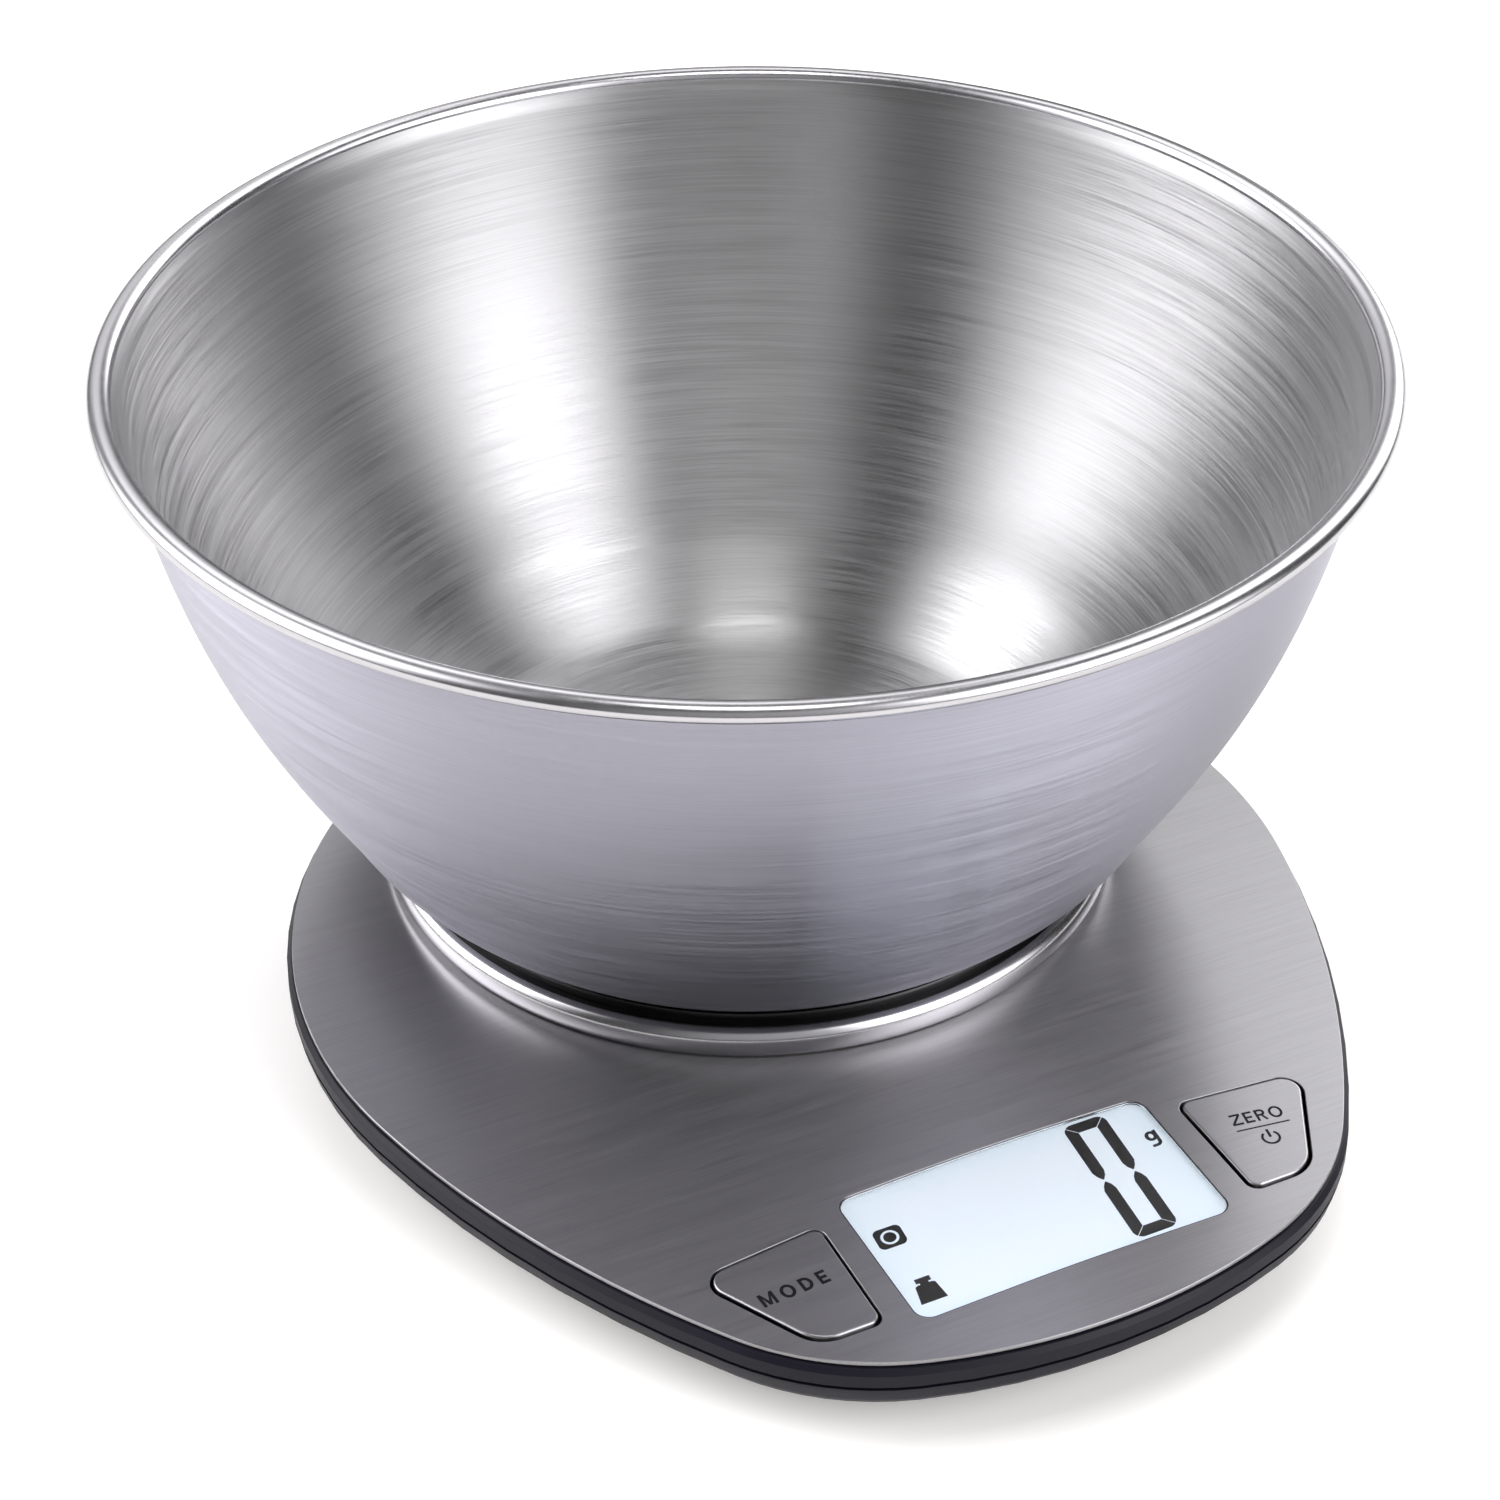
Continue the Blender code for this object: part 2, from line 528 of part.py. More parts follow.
def make_battery_cover():
    outline = rounded(box_outline(-27.2, 27.2, 17.8, 43.6, 1.7))
    joint = make_empty("battery_cover_joint", (0, (BAY_FRONT + BAY_REAR) / 2, 0))
    joint.parent = platform_frame
    local = Vector(joint.location[:2])
    cover = flat("battery_cover", [[point - local for point in outline]], BASE_UNDER, 3.2 * MM, BLACK, joint)
    grip = cylinder("cover_grip", (0, 7.5 * MM), 4 * MM, 0, 2.5 * MM, None, joint)
    combine(cover, grip)


def make_batteries():
    """Two AAA cells side by side, the second one turned round, between sprung contacts."""
    profile = [(radius * MM, height * MM) for radius, height in BATTERY_PROFILE]
    plate = 0.4 * MM
    reach = BAY_HALF - 2 * GAP - plate
    for i, (y, sign) in enumerate(zip(BATTERY_ROWS, (1, -1))):
        cell = turned(f"battery_{i + 1}", profile, BATTERY_SKIN, platform_frame, 24)
        cell.rotation_euler = (0, sign * math.pi / 2, 0)
        cell.location = (sign * (reach - BATTERY_LENGTH), y, BATTERY_HEIGHT)
        start = sign * (-reach)
        end = sign * (reach - BATTERY_LENGTH - GAP)
        make_contact_spring(f"contact_spring_{i + 1}", y, start, end)
    for name, x, rows in (("contact_bridge", -reach - plate, BATTERY_ROWS),
                          ("contact_plus", reach, BATTERY_ROWS[:1]),
                          ("contact_minus", reach, BATTERY_ROWS[1:])):
        box(name, (x, rows[0] - 3.8 * MM, 5.6 * MM), (x + plate, rows[-1] + 3.8 * MM, 14.2 * MM), NICKEL)


def make_contact_spring(name, y, start, end):
    """A conical spring of two and a half turns, lying along X, wide where it stands on its contact plate."""
    turns = 2.5
    steps = 24
    wire_radius = 0.3 * MM
    sign = 1 if end > start else -1
    first = start + sign * (wire_radius + GAP)
    last = end - sign * wire_radius
    points = []
    for i in range(steps + 1):
        t = i / steps
        radius = (3.6 - 1.6 * t) * MM
        angle = math.tau * turns * t
        points.append((first + (last - first) * t, y + radius * math.cos(angle),
                       BATTERY_HEIGHT + radius * math.sin(angle)))
    add(name, curve_mesh(tube_curve(name, points, wire_radius), Matrix()), NICKEL, smooth=True)


def make_leads():
    wire("load_cell_lead", ((0, -23.3, 13.4), (0, -34, 13.4), (-2, -50, 13.0), (-8, -66, 11),
                            (-16, -80, 8.6), (-20, -90, 8.2), (-20, -99.7, 8.2)), 0.8 * MM, WHITE, 6 * MM)
    battery_ends = (("battery_lead_plus", 25.2, 18.6, 0), ("battery_lead_minus", 36.2, 21.4, 3))
    for name, y, x_end, drift in battery_ends:
        route = ((25.5, y, 13.7), (28.5 + drift, y - 1.5, 13.6), (30.5 + drift, y - 8, 12),
                 (30 + drift, 6, 9), (28 + drift, -20, 8), (26 + drift, -50, 8), (23 + drift, -75, 8.2),
                 (x_end, -90, 8.2), (x_end, -99.7, 8.2))
        wire(name, route, 0.6 * MM, RUBBER, 8 * MM)


make_bowl()
make_foot_ring()
make_top_plate()
make_upper_housing()
make_display()
make_key("zero", False)
make_key("mode", True)
make_board()
make_beam()
make_lower_housing()
make_feet()
make_battery_cover()
make_batteries()
make_leads()
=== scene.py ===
"""Looks of the kitchen scale with its mixing bowl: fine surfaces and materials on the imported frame.

Metres, +Z up. The front, with the display and the two keys, faces -Y. A length is written in
millimetres times MM. Tables of points, and what is printed on the keys and the display, are in plain
millimetres, about the bowl's axis and the platform's centre line.
"""

import math

import bmesh
import bpy
from mathutils import Matrix, Vector


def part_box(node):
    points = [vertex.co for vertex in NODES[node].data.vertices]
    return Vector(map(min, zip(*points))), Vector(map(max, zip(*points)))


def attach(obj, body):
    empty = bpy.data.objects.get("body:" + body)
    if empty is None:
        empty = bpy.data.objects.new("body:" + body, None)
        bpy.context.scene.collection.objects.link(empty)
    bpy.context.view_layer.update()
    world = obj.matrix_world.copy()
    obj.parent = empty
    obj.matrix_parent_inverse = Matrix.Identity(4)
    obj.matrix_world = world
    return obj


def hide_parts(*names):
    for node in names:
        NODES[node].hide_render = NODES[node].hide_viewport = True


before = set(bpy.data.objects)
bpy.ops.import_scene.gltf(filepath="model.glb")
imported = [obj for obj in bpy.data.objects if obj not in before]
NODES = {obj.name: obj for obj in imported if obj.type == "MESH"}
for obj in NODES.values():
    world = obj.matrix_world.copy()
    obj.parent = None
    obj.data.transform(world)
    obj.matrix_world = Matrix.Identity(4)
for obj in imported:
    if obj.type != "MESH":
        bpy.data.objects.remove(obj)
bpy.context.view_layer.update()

MM = 0.001
WELD = 0.002 * MM
EDGE_ANGLE = math.radians(30)  # above it an edge of a finer piece stays sharp
CAD_EDGE_ANGLE = math.radians(32)  # the same for a carried-over CAD node
SOFT_EDGE = 0.2 * MM
LEVEL = 0.9999  # a face whose normal is at least this upright is level

# Places read from the frame
BOWL_LOW, BOWL_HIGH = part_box("mixing_bowl")
PLATE_LOW, PLATE_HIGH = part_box("top_plate")
GLASS_LOW, GLASS_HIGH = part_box("lcd_glass")
LENS_LOW, LENS_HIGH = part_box("lcd_lens")
KEY_LOW, KEY_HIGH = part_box("zero_key")
PLATE_TOP = PLATE_HIGH.z
BOWL_PLACE = Vector(((BOWL_LOW.x + BOWL_HIGH.x) / 2, (BOWL_LOW.y + BOWL_HIGH.y) / 2, PLATE_TOP))
PLATFORM_PLACE = Vector(((PLATE_LOW.x + PLATE_HIGH.x) / 2, BOWL_PLACE.y, 0))

# Bowl
RIM_RADIUS = (BOWL_HIGH.x - BOWL_LOW.x) / 2
RIM_HALF_WIDTH = 2.2 * MM
RIM_HALF_HEIGHT = 1.7 * MM
RIM_HEIGHT = BOWL_HIGH.z - PLATE_TOP - RIM_HALF_HEIGHT
SHEET = 0.8 * MM
FLOOR_HEIGHT = 2.7 * MM
FLOOR_RADIUS = 51 * MM
WALL_STATIONS = ((3.3, 57.0), (5.1, 61.8), (8.5, 66.4), (13.4, 71.8), (20, 77.8), (30, 83.6), (40, 89.4),
                 (50, 94.6), (60, 99.0), (70, 102.6), (80, 105.5), (90, 107.9), (99, 109.7),
                 (103.4, 110.5))  # height above the plate, outer radius
LIP = ((1.0, -1.0), (1.0, 0), (0.02, 0), (-0.4, -1.3))  # the sheet's end, about the rim's inner edge
RING_OUTSIDE = ((67.4, 8.9), (66.2, 7.9), (65.9, 7.3), (66.8, 6.7), (69.0, 6.2), (70.1, 5.0), (70.4, 3.4),
                (70.1, 1.6), (68.9, 0.3))  # radius, height above the plate
RING_INSIDE = ((66.9, 0.3), (66.9, 4.0), (65.4, 5.2), (64.3, 5.6), (64.3, 6.4))
NECK_HEIGHT = 6.45 * MM
PAINTED_FOOT_SHADE = (12, 95)  # heights between which the painted shade on the outside of the bowl fades, brighter upwards
ROUND_STEPS = 240
RIM_STEPS = 28
FLOOR_STEPS = 12
SPAN_STEPS = 5
RING_STEPS = 40

# Platform: tangent arcs at the rear, flank, corner and front, mirrored about the centre line
REAR_RADIUS = (PLATE_HIGH.x - PLATE_LOW.x) / 2
REAR_CENTRE = PLATE_HIGH.y - BOWL_PLACE.y - REAR_RADIUS
REAR_END = math.radians(-13.6)
FLANK_RADIUS = 207 * MM
FLANK_END = math.radians(-35.7)
CORNER_RADIUS = 49.5 * MM
FRONT_RADIUS = 110 * MM
OUTLINE_STEPS = (72, 20, 28, 14)
WINDOW = ((29.9, -133.1, 3), (29.9, -101.8, 3), (0, -100.8, 500), (-29.9, -101.8, 3),
          (-29.9, -133.1, 3), (0, -132.5, 500))  # x, y, corner radius
KEY = ((35.2, -130.5, 2.2), (47.1, -130.5, 7), (59.1, -108.6, 3.6), (34.9, -106.2, 2.0))  # the right one
GAP = 0.3 * MM
KEY_EDGE = 0.4 * MM
PLATE_EDGE = 0.12 * MM
FILLET_STEPS = 14
WINDOW_EDGE = 0.08 * MM
WINDOW_INSET = 0.2 * MM
# a thin black ring round the window: painted shadow of the gap at the window's edge
SHADOW_RING_INSETS = (0.01 * MM, 0.18 * MM)
SHADOW_RING_DROP = 0.05 * MM

# Printing on the keys and figures on the display, in plan
INK = 0.02 * MM
MODE_PLACE = (-45.2, -117.6)
MODE_TURN = math.radians(3.5)
MODE_SIZE = (3.0, 12.6, 0.6)  # cap height, width of the word, stroke
ZERO_PLACE = (45.6, -115.2)
ZERO_TURN = math.radians(-9)
ZERO_SIZE = (2.8, 9.6, 0.46)
RULE = ((40.4, -117.2), (50.2, -118.7))
RULE_STROKE = 0.3
POWER_PLACE = (44.9, -121.0)
POWER_RADIUS = 1.5
POWER_STROKE = 0.45
POWER_GAP = math.radians(38)
STEM_REACH = (0.1, 2.1)
STEM_STROKE = 0.5
DIGIT_CENTRE = (17.3, -116.6)
DIGIT_SIZE = (8.2, 29.2)
DIGIT_STROKE = 2.3
DIGIT_CORNER = 1.7
DIGIT_SLIT = 0.05
DIGIT_NOTCH = (2.4, 1.2, 0.3)  # heights of the notch between the upper and the lower side segment
DISPLAY_LEAN = 0.08
UNIT_PLACE = (27.3, -111.2)
RING_ICON_PLACE = (-24.9, -112.7)
RING_ICON_SQUARE = ((2.6, -2.35, 1.1), (2.6, 2.35, 1.1), (-2.6, 2.35, 1.1), (-2.6, -2.35, 1.1))
RING_ICON_RADII = (1.65, 1.15)
WEIGHT_PLACE = (-24.9, -126.2)
WEIGHT_HALF = ((2.45, -2.8), (1.85, 1.1), (1.3, 1.35), (0.8, 1.35), (0.8, 1.75), (1.4, 1.75), (1.4, 2.8))

# Brushed steel: noise cells along and across the brushing, and the stretch of the noise that is used
ROUND_ALONG = 3.2  # per radian
ROUND_ACROSS = 2800.0  # per metre
ROUND_WIDER = (0.5, 0.2, 0.2)
ROUND_LIMITS = (0.38, 0.62)
STRAIGHT_FINE = (60, 3600, 60)  # per metre
STRAIGHT_LONG = (14, 700, 14)
STRAIGHT_LIMITS = (0.35, 0.65)
FINE_SHARE = 0.75
BRUSH_DEPTH = 0.0006 * MM
BRUSH_STRENGTH = 0.6

# Display: the glowing colours, the glass that they tint, and the strength of the glow
DISPLAY_MIDDLE = (0.80, 0.845, 0.90)
DISPLAY_EDGE = (0.72, 0.81, 0.88)
DISPLAY_GLASS = (0.25, 0.3, 0.33)
DISPLAY_GLOW = 0.56

# Battery sleeves
BARE_METAL = (0.62, 0.6, 0.56)
SLEEVE_BLUE = (0.02, 0.09, 0.25)
SLEEVE_PALE = (0.75, 0.75, 0.72)
SLEEVE = ((0.0, BARE_METAL), (0.03, SLEEVE_BLUE), (0.3, SLEEVE_PALE), (0.34, SLEEVE_BLUE),
          (0.97, BARE_METAL))  # share of the length where each colour starts

# Camera and light
LENS = 81.17
SENSOR = 36.0
CAMERA_PLACE = Vector((-0.2262, -0.4582, 0.4132))
CAMERA_TURN = math.radians(25.52)
CAMERA_DOWN = math.radians(35.68)
CAMERA_ROLL = math.radians(0.43)
STUDIO = ((0, 0.02), (10, 0.05), (20, 4.2), (38, 4.2), (48, 0.4), (58, 0.05), (72, 0.8), (90, 0.9),
          (108, 0.02), (126, 3.4), (144, 6.9), (162, 4.8), (178, 1.5), (194, 0.03), (216, 0.12),
          (234, 0.38), (252, 0.45), (270, 0.45), (288, 3.8), (306, 5.6), (324, 2.6),
          (338, 0.02))  # azimuth, brightness
STUDIO_BLUE = 1.02
LOW_LIGHT = 0.05
LOW_FADE = (0.08, 0.25)  # heights on the studio's sphere between which the low light gives way
OVERHEAD_LIGHT = 0.05
OVERHEAD_FADE = (0.75, 0.95)
PANELS = (("overhead", (0.2, 0.3, 1.6), (1.6, 1.6), 4, False),
          ("rear_softbox", (0.3, 0.83, 0.97), (1.2, 0.4), 2.0, True),
          ("top_softbox", (-0.02, -0.03, 1.5), (0.36, 0.5), 3.2, True))  # place, size, power, reflected
FLOOR_HALF_SIZE = 6
FLOOR_TONES = ((0.90, 0.885, 0.865), (0.92, 0.905, 0.885))
FLOOR_GLOW = (1.0, 0.98, 0.96, 1.0)
FLOOR_LIFT = 0.24


# ---------------------------------------------------------------- shapes

def direction(angle):
    return Vector((math.cos(angle), math.sin(angle)))


def arc(centre, radius, start, end, steps):
    return [centre + radius * direction(start + (end - start) * i / steps) for i in range(steps + 1)]


def oval(centre, half_width, half_height, start=0.0, end=math.tau, steps=36):
    """Points on an ellipse, without the last one when it is whole."""
    count = steps if abs(end - start) >= math.tau else steps + 1
    return [(centre[0] + half_width * math.cos(start + (end - start) * i / steps),
             centre[1] + half_height * math.sin(start + (end - start) * i / steps)) for i in range(count)]


def platform_outline():
    """The platform's plan, counter-clockwise from beside its rear point."""
    rear = Vector((0, REAR_CENTRE))
    flank = rear - (FLANK_RADIUS - REAR_RADIUS) * direction(REAR_END)
    corner = flank + (FLANK_RADIUS - CORNER_RADIUS) * direction(FLANK_END)
    corner_end = -math.acos(corner.x / (FRONT_RADIUS - CORNER_RADIUS))
    front = corner - (FRONT_RADIUS - CORNER_RADIUS) * direction(corner_end)
    rear_steps, flank_steps, corner_steps, front_steps = OUTLINE_STEPS
    right = arc(rear, REAR_RADIUS, math.pi / 2, REAR_END, rear_steps)
    right += arc(flank, FLANK_RADIUS, REAR_END, FLANK_END, flank_steps)[1:]
    right += arc(corner, CORNER_RADIUS, FLANK_END, corner_end, corner_steps)[1:]
    right += arc(front, FRONT_RADIUS, corner_end, -math.pi / 2, front_steps)[1:]
    left = [Vector((-point.x, point.y)) for point in right[1:-1]]
    return left + right[::-1]


def rounded(corners, grow=0.0, mirror=False):
    """A counter-clockwise outline with filleted corners (x, y, radius in millimetres), grown outward."""
    if mirror:
        corners = [(-x, y, radius) for x, y, radius in reversed(corners)]
    count = len(corners)
    points = [Vector((x, y)) * MM for x, y, radius in corners]
    outline = []
    for i in range(count):
        before = (points[i] - points[i - 1]).normalized()
        after = (points[(i + 1) % count] - points[i]).normalized()
        turn = -before.angle_signed(after)
        side = math.copysign(1, turn)
        normal = Vector((before.y, -before.x))
        bisector = (normal + Vector((after.y, -after.x))).normalized()
        corner = points[i] + bisector * grow / math.cos(turn / 2)
        radius = corners[i][2] * MM + side * grow
        reach = radius * math.tan(abs(turn) / 2)
        centre = corner - before * reach - side * radius * normal
        start_angle = math.atan2(side * normal.y, side * normal.x)
        outline += arc(centre, radius, start_angle, start_angle + turn, FILLET_STEPS)
    return outline


def smooth_line(points):
    """A curve through 2D points."""
    points = [Vector(p) for p in points]
    ends = [2 * points[0] - points[1]] + points + [2 * points[-1] - points[-2]]
    line = []
    for before, start, end, after in zip(ends, ends[1:], ends[2:], ends[3:]):
        for i in range(SPAN_STEPS):
            t = i / SPAN_STEPS
            line.append(0.5 * (2 * start + (end - before) * t
                               + (2 * before - 5 * start + 4 * end - after) * t ** 2
                               + (3 * start - before - 3 * end + after) * t ** 3))
    return line + [points[-1]]


def add(name, mesh, material, body, nodes, place, level=False):
    """A finished piece: shaded smooth apart from its sharp edges, riding on a body for its CAD nodes."""
    piece = bpy.data.objects.new(name, mesh)
    bpy.context.scene.collection.objects.link(piece)
    piece.location = place
    mesh.materials.clear()
    mesh.materials.append(material)
    mesh.shade_smooth()
    mesh.set_sharp_from_angle(angle=EDGE_ANGLE)
    if level:
        sharpen_level_faces(mesh)
    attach(piece, body)
    if nodes:
        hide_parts(*nodes)


def sharpen_level_faces(mesh):
    """Sharp borders for the level faces, so that their rounded edges don't bend the light on them."""
    shape = bmesh.new()
    shape.from_mesh(mesh)
    for edge in shape.edges:
        if len({abs(face.normal.z) > LEVEL for face in edge.link_faces}) > 1:
            edge.smooth = False
    shape.to_mesh(mesh)
    shape.free()


def mesh_of(name, shape):
    mesh = bpy.data.meshes.new(name)
    shape.to_mesh(mesh)
    shape.free()
    return mesh


def turned(name, profile, closed=False):
    """A mesh turned about the Z axis from a profile of (radius, height), with single points on the axis."""
    shape = bmesh.new()
    rings = []
    for radius, height in profile:
        if radius == 0:
            rings.append([shape.verts.new((0, 0, height))] * ROUND_STEPS)
        else:
            rings.append([shape.verts.new((radius * math.cos(math.tau * i / ROUND_STEPS),
                                           radius * math.sin(math.tau * i / ROUND_STEPS), height))
                          for i in range(ROUND_STEPS)])
    pairs = list(zip(rings, rings[1:]))
    if closed:
        pairs.append((rings[-1], rings[0]))
    for first, second in pairs:
        for i in range(ROUND_STEPS):
            corners = dict.fromkeys((first[i - 1], first[i], second[i], second[i - 1]))
            if len(corners) > 2:
                shape.faces.new(corners)
    bmesh.ops.recalc_face_normals(shape, faces=shape.faces)
    return mesh_of(name, shape)


def flat(name, outlines, low, high, edge=0.0, edge_steps=0):
    """A flat mesh from closed outlines, the later ones being holes, with rounded edges if edge is set."""
    curve = bpy.data.curves.new(name, "CURVE")
    curve.dimensions = "2D"
    curve.fill_mode = "BOTH"
    curve.extrude = (high - low) / 2 - edge
    curve.bevel_depth = edge
    curve.bevel_resolution = edge_steps
    curve.offset = -edge
    for outline in outlines:
        spline = curve.splines.new("POLY")
        spline.points.add(len(outline) - 1)
        for point, place in zip(spline.points, outline):
            point.co = (place[0], place[1], 0, 1)
        spline.use_cyclic_u = True
    mesh = curve_mesh(curve)
    mesh.transform(Matrix.Translation((0, 0, (low + high) / 2)))
    return mesh


def curve_mesh(curve):
    """A curve's evaluated mesh, welded."""
    guide = bpy.data.objects.new("guide", curve)
    bpy.context.scene.collection.objects.link(guide)
    evaluated = guide.evaluated_get(bpy.context.evaluated_depsgraph_get())
    mesh = bpy.data.meshes.new_from_object(evaluated)
    bpy.data.objects.remove(guide)
    shape = bmesh.new()
    shape.from_mesh(mesh)
    bmesh.ops.remove_doubles(shape, verts=shape.verts, dist=WELD)
    bmesh.ops.recalc_face_normals(shape, faces=shape.faces)
    shape.to_mesh(mesh)
    shape.free()
    return mesh


# ---------------------------------------------------------------- materials

class Nodes:
    """A short way to build the node tree of a material or a world."""

    def __init__(self, owner, shader="Principled BSDF"):
        self.owner = owner
        self.owner.use_nodes = True
        self.tree = owner.node_tree
        self.shader = self.tree.nodes[shader]

    def node(self, kind, **settings):
        made = self.tree.nodes.new(kind)
        for key, value in settings.items():
            setattr(made, key, value)
        return made

    def node_with(self, kind, first, **settings):
        """A node with its first input linked."""
        made = self.node(kind, **settings)
        self.link(first, made.inputs[0])
        return made

    def link(self, source, target):
        self.tree.links.new(source, target)

    def set(self, **values):
        """Sets the shader's own sockets, with their names' spaces written as underscores."""
        for key, value in values.items():
            self.shader.inputs[key.replace("_", " ")].default_value = value

    def feed(self, socket, value):
        """Links a socket to the value, or sets it when the value is a number or a colour."""
        if isinstance(value, bpy.types.NodeSocket):
            self.link(value, socket)
        elif isinstance(value, tuple):
            socket.default_value = (*value, 1)
        else:
            socket.default_value = value

    def math(self, operation, first, second=0.0):
        made = self.node("ShaderNodeMath", operation=operation)
        for socket, value in zip(made.inputs, (first, second)):
            self.feed(socket, value)
        return made.outputs[0]

    def coordinates(self):
        return self.node("ShaderNodeTexCoord").outputs["Object"]

    def split(self, vector):
        return self.node_with("ShaderNodeSeparateXYZ", vector).outputs

    def join(self, x, y, z):
        made = self.node("ShaderNodeCombineXYZ")
        for socket, value in zip(made.inputs, (x, y, z)):
            self.feed(socket, value)
        return made.outputs[0]

    def stretch(self, vector, scale):
        made = self.node_with("ShaderNodeVectorMath", vector, operation="MULTIPLY")
        made.inputs[1].default_value = scale
        return made.outputs[0]

    def noise(self, vector, scale, detail=2.0, roughness=0.5):
        made = self.node_with("ShaderNodeTexNoise", vector)
        made.inputs["Scale"].default_value = scale
        made.inputs["Detail"].default_value = detail
        made.inputs["Roughness"].default_value = roughness
        return made.outputs["Fac"]

    def spread(self, value, low, high, limits=(0.25, 0.75), kind="LINEAR"):
        """Goes from low to high as the value passes between the limits."""
        made = self.node_with("ShaderNodeMapRange", value, interpolation_type=kind)
        names = ("From Min", "From Max", "To Min", "To Max")
        for socket, number in zip(names, (*limits, low, high)):
            made.inputs[socket].default_value = number
        return made.outputs[0]

    def blend(self, factor, first, second):
        made = self.node("ShaderNodeMix", data_type="RGBA")
        for socket, value in (("Factor", factor), ("A", first), ("B", second)):
            self.feed(made.inputs[socket], value)
        return made.outputs["Result"]

    def colour(self, socket):
        self.link(socket, self.shader.inputs["Base Color"])

    def roughness(self, socket):
        self.link(socket, self.shader.inputs["Roughness"])

    def bump(self, height, distance, strength):
        made = self.node("ShaderNodeBump")
        made.inputs["Strength"].default_value = strength
        made.inputs["Distance"].default_value = distance
        self.link(height, made.inputs["Height"])
        self.link(made.outputs["Normal"], self.shader.inputs["Normal"])

    def brushed(self, fine, wide, colour, grain, limits):
        """Lines from a fine and a wider noise, as bump, and the colour that they darken by the grain."""
        lines = self.math("ADD", self.math("MULTIPLY", fine, FINE_SHARE),
                          self.math("MULTIPLY", wide, 1 - FINE_SHARE))
        self.bump(lines, BRUSH_DEPTH, BRUSH_STRENGTH)
        return lines, self.blend(self.spread(lines, 0, 1, limits), dimmed(colour, 1 - grain), colour)

    def tangent(self, axis, anisotropy, rotation):
        """Metal whose reflections are drawn out across brushing round or along an axis."""
        made = self.node("ShaderNodeTangent", direction_type="RADIAL", axis=axis)
        self.link(made.outputs[0], self.shader.inputs["Tangent"])
        self.set(Metallic=1.0, Anisotropic=anisotropy, Anisotropic_Rotation=rotation)


def new_nodes(name):
    return Nodes(bpy.data.materials.new(name))


def dimmed(colour, share):
    return tuple(channel * share for channel in colour)


def round_brushed(name, colour, roughness, anisotropy, grain, foot=1.0):
    """Steel brushed round the Z axis in short fine lines, dimmed by painted shade to the share foot at the
    bowl's foot.
    """
    nodes = new_nodes(name)
    x, y, z = nodes.split(nodes.coordinates())
    turn = nodes.math("ARCTAN2", y, x)
    radius = nodes.math("SQRT", nodes.math("ADD", nodes.math("MULTIPLY", x, x), nodes.math("MULTIPLY", y, y)))
    around = nodes.join(nodes.math("MULTIPLY", turn, ROUND_ALONG),
                        nodes.math("MULTIPLY", radius, ROUND_ACROSS),
                        nodes.math("MULTIPLY", z, ROUND_ACROSS))
    fine = nodes.noise(around, 1.0, 4.0, 0.7)
    wide = nodes.noise(nodes.stretch(around, ROUND_WIDER), 1.0, 3.0, 0.6)
    lines, shade = nodes.brushed(fine, wide, colour, grain, ROUND_LIMITS)
    # painted shade: the colour is scaled down towards the bowl's foot, to the share foot at the lowest height
    if foot < 1:
        scaled = nodes.node_with("ShaderNodeVectorMath", shade, operation="SCALE")
        nodes.link(nodes.spread(z, foot, 1.0, [height * MM for height in PAINTED_FOOT_SHADE]), scaled.inputs["Scale"])
        shade = scaled.outputs[0]
    nodes.colour(shade)
    nodes.roughness(nodes.spread(lines, roughness * 0.8, roughness * 1.25, ROUND_LIMITS))
    nodes.tangent("Z", anisotropy, 0.25)
    return nodes.owner


def straight_brushed(name, colour, roughness, anisotropy, grain):
    """Steel brushed along X, with long fine lines."""
    nodes = new_nodes(name)
    place = nodes.coordinates()
    fine = nodes.noise(nodes.stretch(place, STRAIGHT_FINE), 1.0, 4.0, 0.7)
    wide = nodes.noise(nodes.stretch(place, STRAIGHT_LONG), 1.0, 2.0, 0.5)
    lines, shade = nodes.brushed(fine, wide, colour, grain, STRAIGHT_LIMITS)
    nodes.colour(shade)
    nodes.roughness(nodes.spread(lines, roughness * 0.92, roughness * 1.1, STRAIGHT_LIMITS))
    nodes.tangent("X", anisotropy, 0.0)
    return nodes.owner


def polished(name, colour, roughness):
    """Bright steel with faint polishing marks."""
    nodes = new_nodes(name)
    marks = nodes.noise(nodes.coordinates(), 260.0, 3.0, 0.6)
    clouds = nodes.noise(nodes.coordinates(), 60.0, 2.0, 0.5)
    nodes.colour(nodes.blend(clouds, dimmed(colour, 0.93), colour))
    nodes.roughness(nodes.spread(marks, roughness * 0.93, roughness * 1.1))
    nodes.set(Metallic=1.0)
    return nodes.owner


def moulded(name, colour, roughness, grain_size=0.35, depth=0.012, metallic=0.0, mottle=0.12, specular=0.5):
    """Moulded or machined material: a fine grain, and a slow drift in colour and roughness."""
    nodes = new_nodes(name)
    place = nodes.coordinates()
    grain = nodes.noise(place, 1 / (grain_size * MM), 3.0, 0.6)
    drift = nodes.noise(place, 45.0, 3.0, 0.5)
    nodes.colour(nodes.blend(drift, dimmed(colour, 1 - mottle), colour))
    nodes.roughness(nodes.spread(drift, roughness * 0.88, roughness * 1.12))
    nodes.bump(grain, depth * MM, 0.5)
    nodes.set(Metallic=metallic, Specular_IOR_Level=specular)
    return nodes.owner


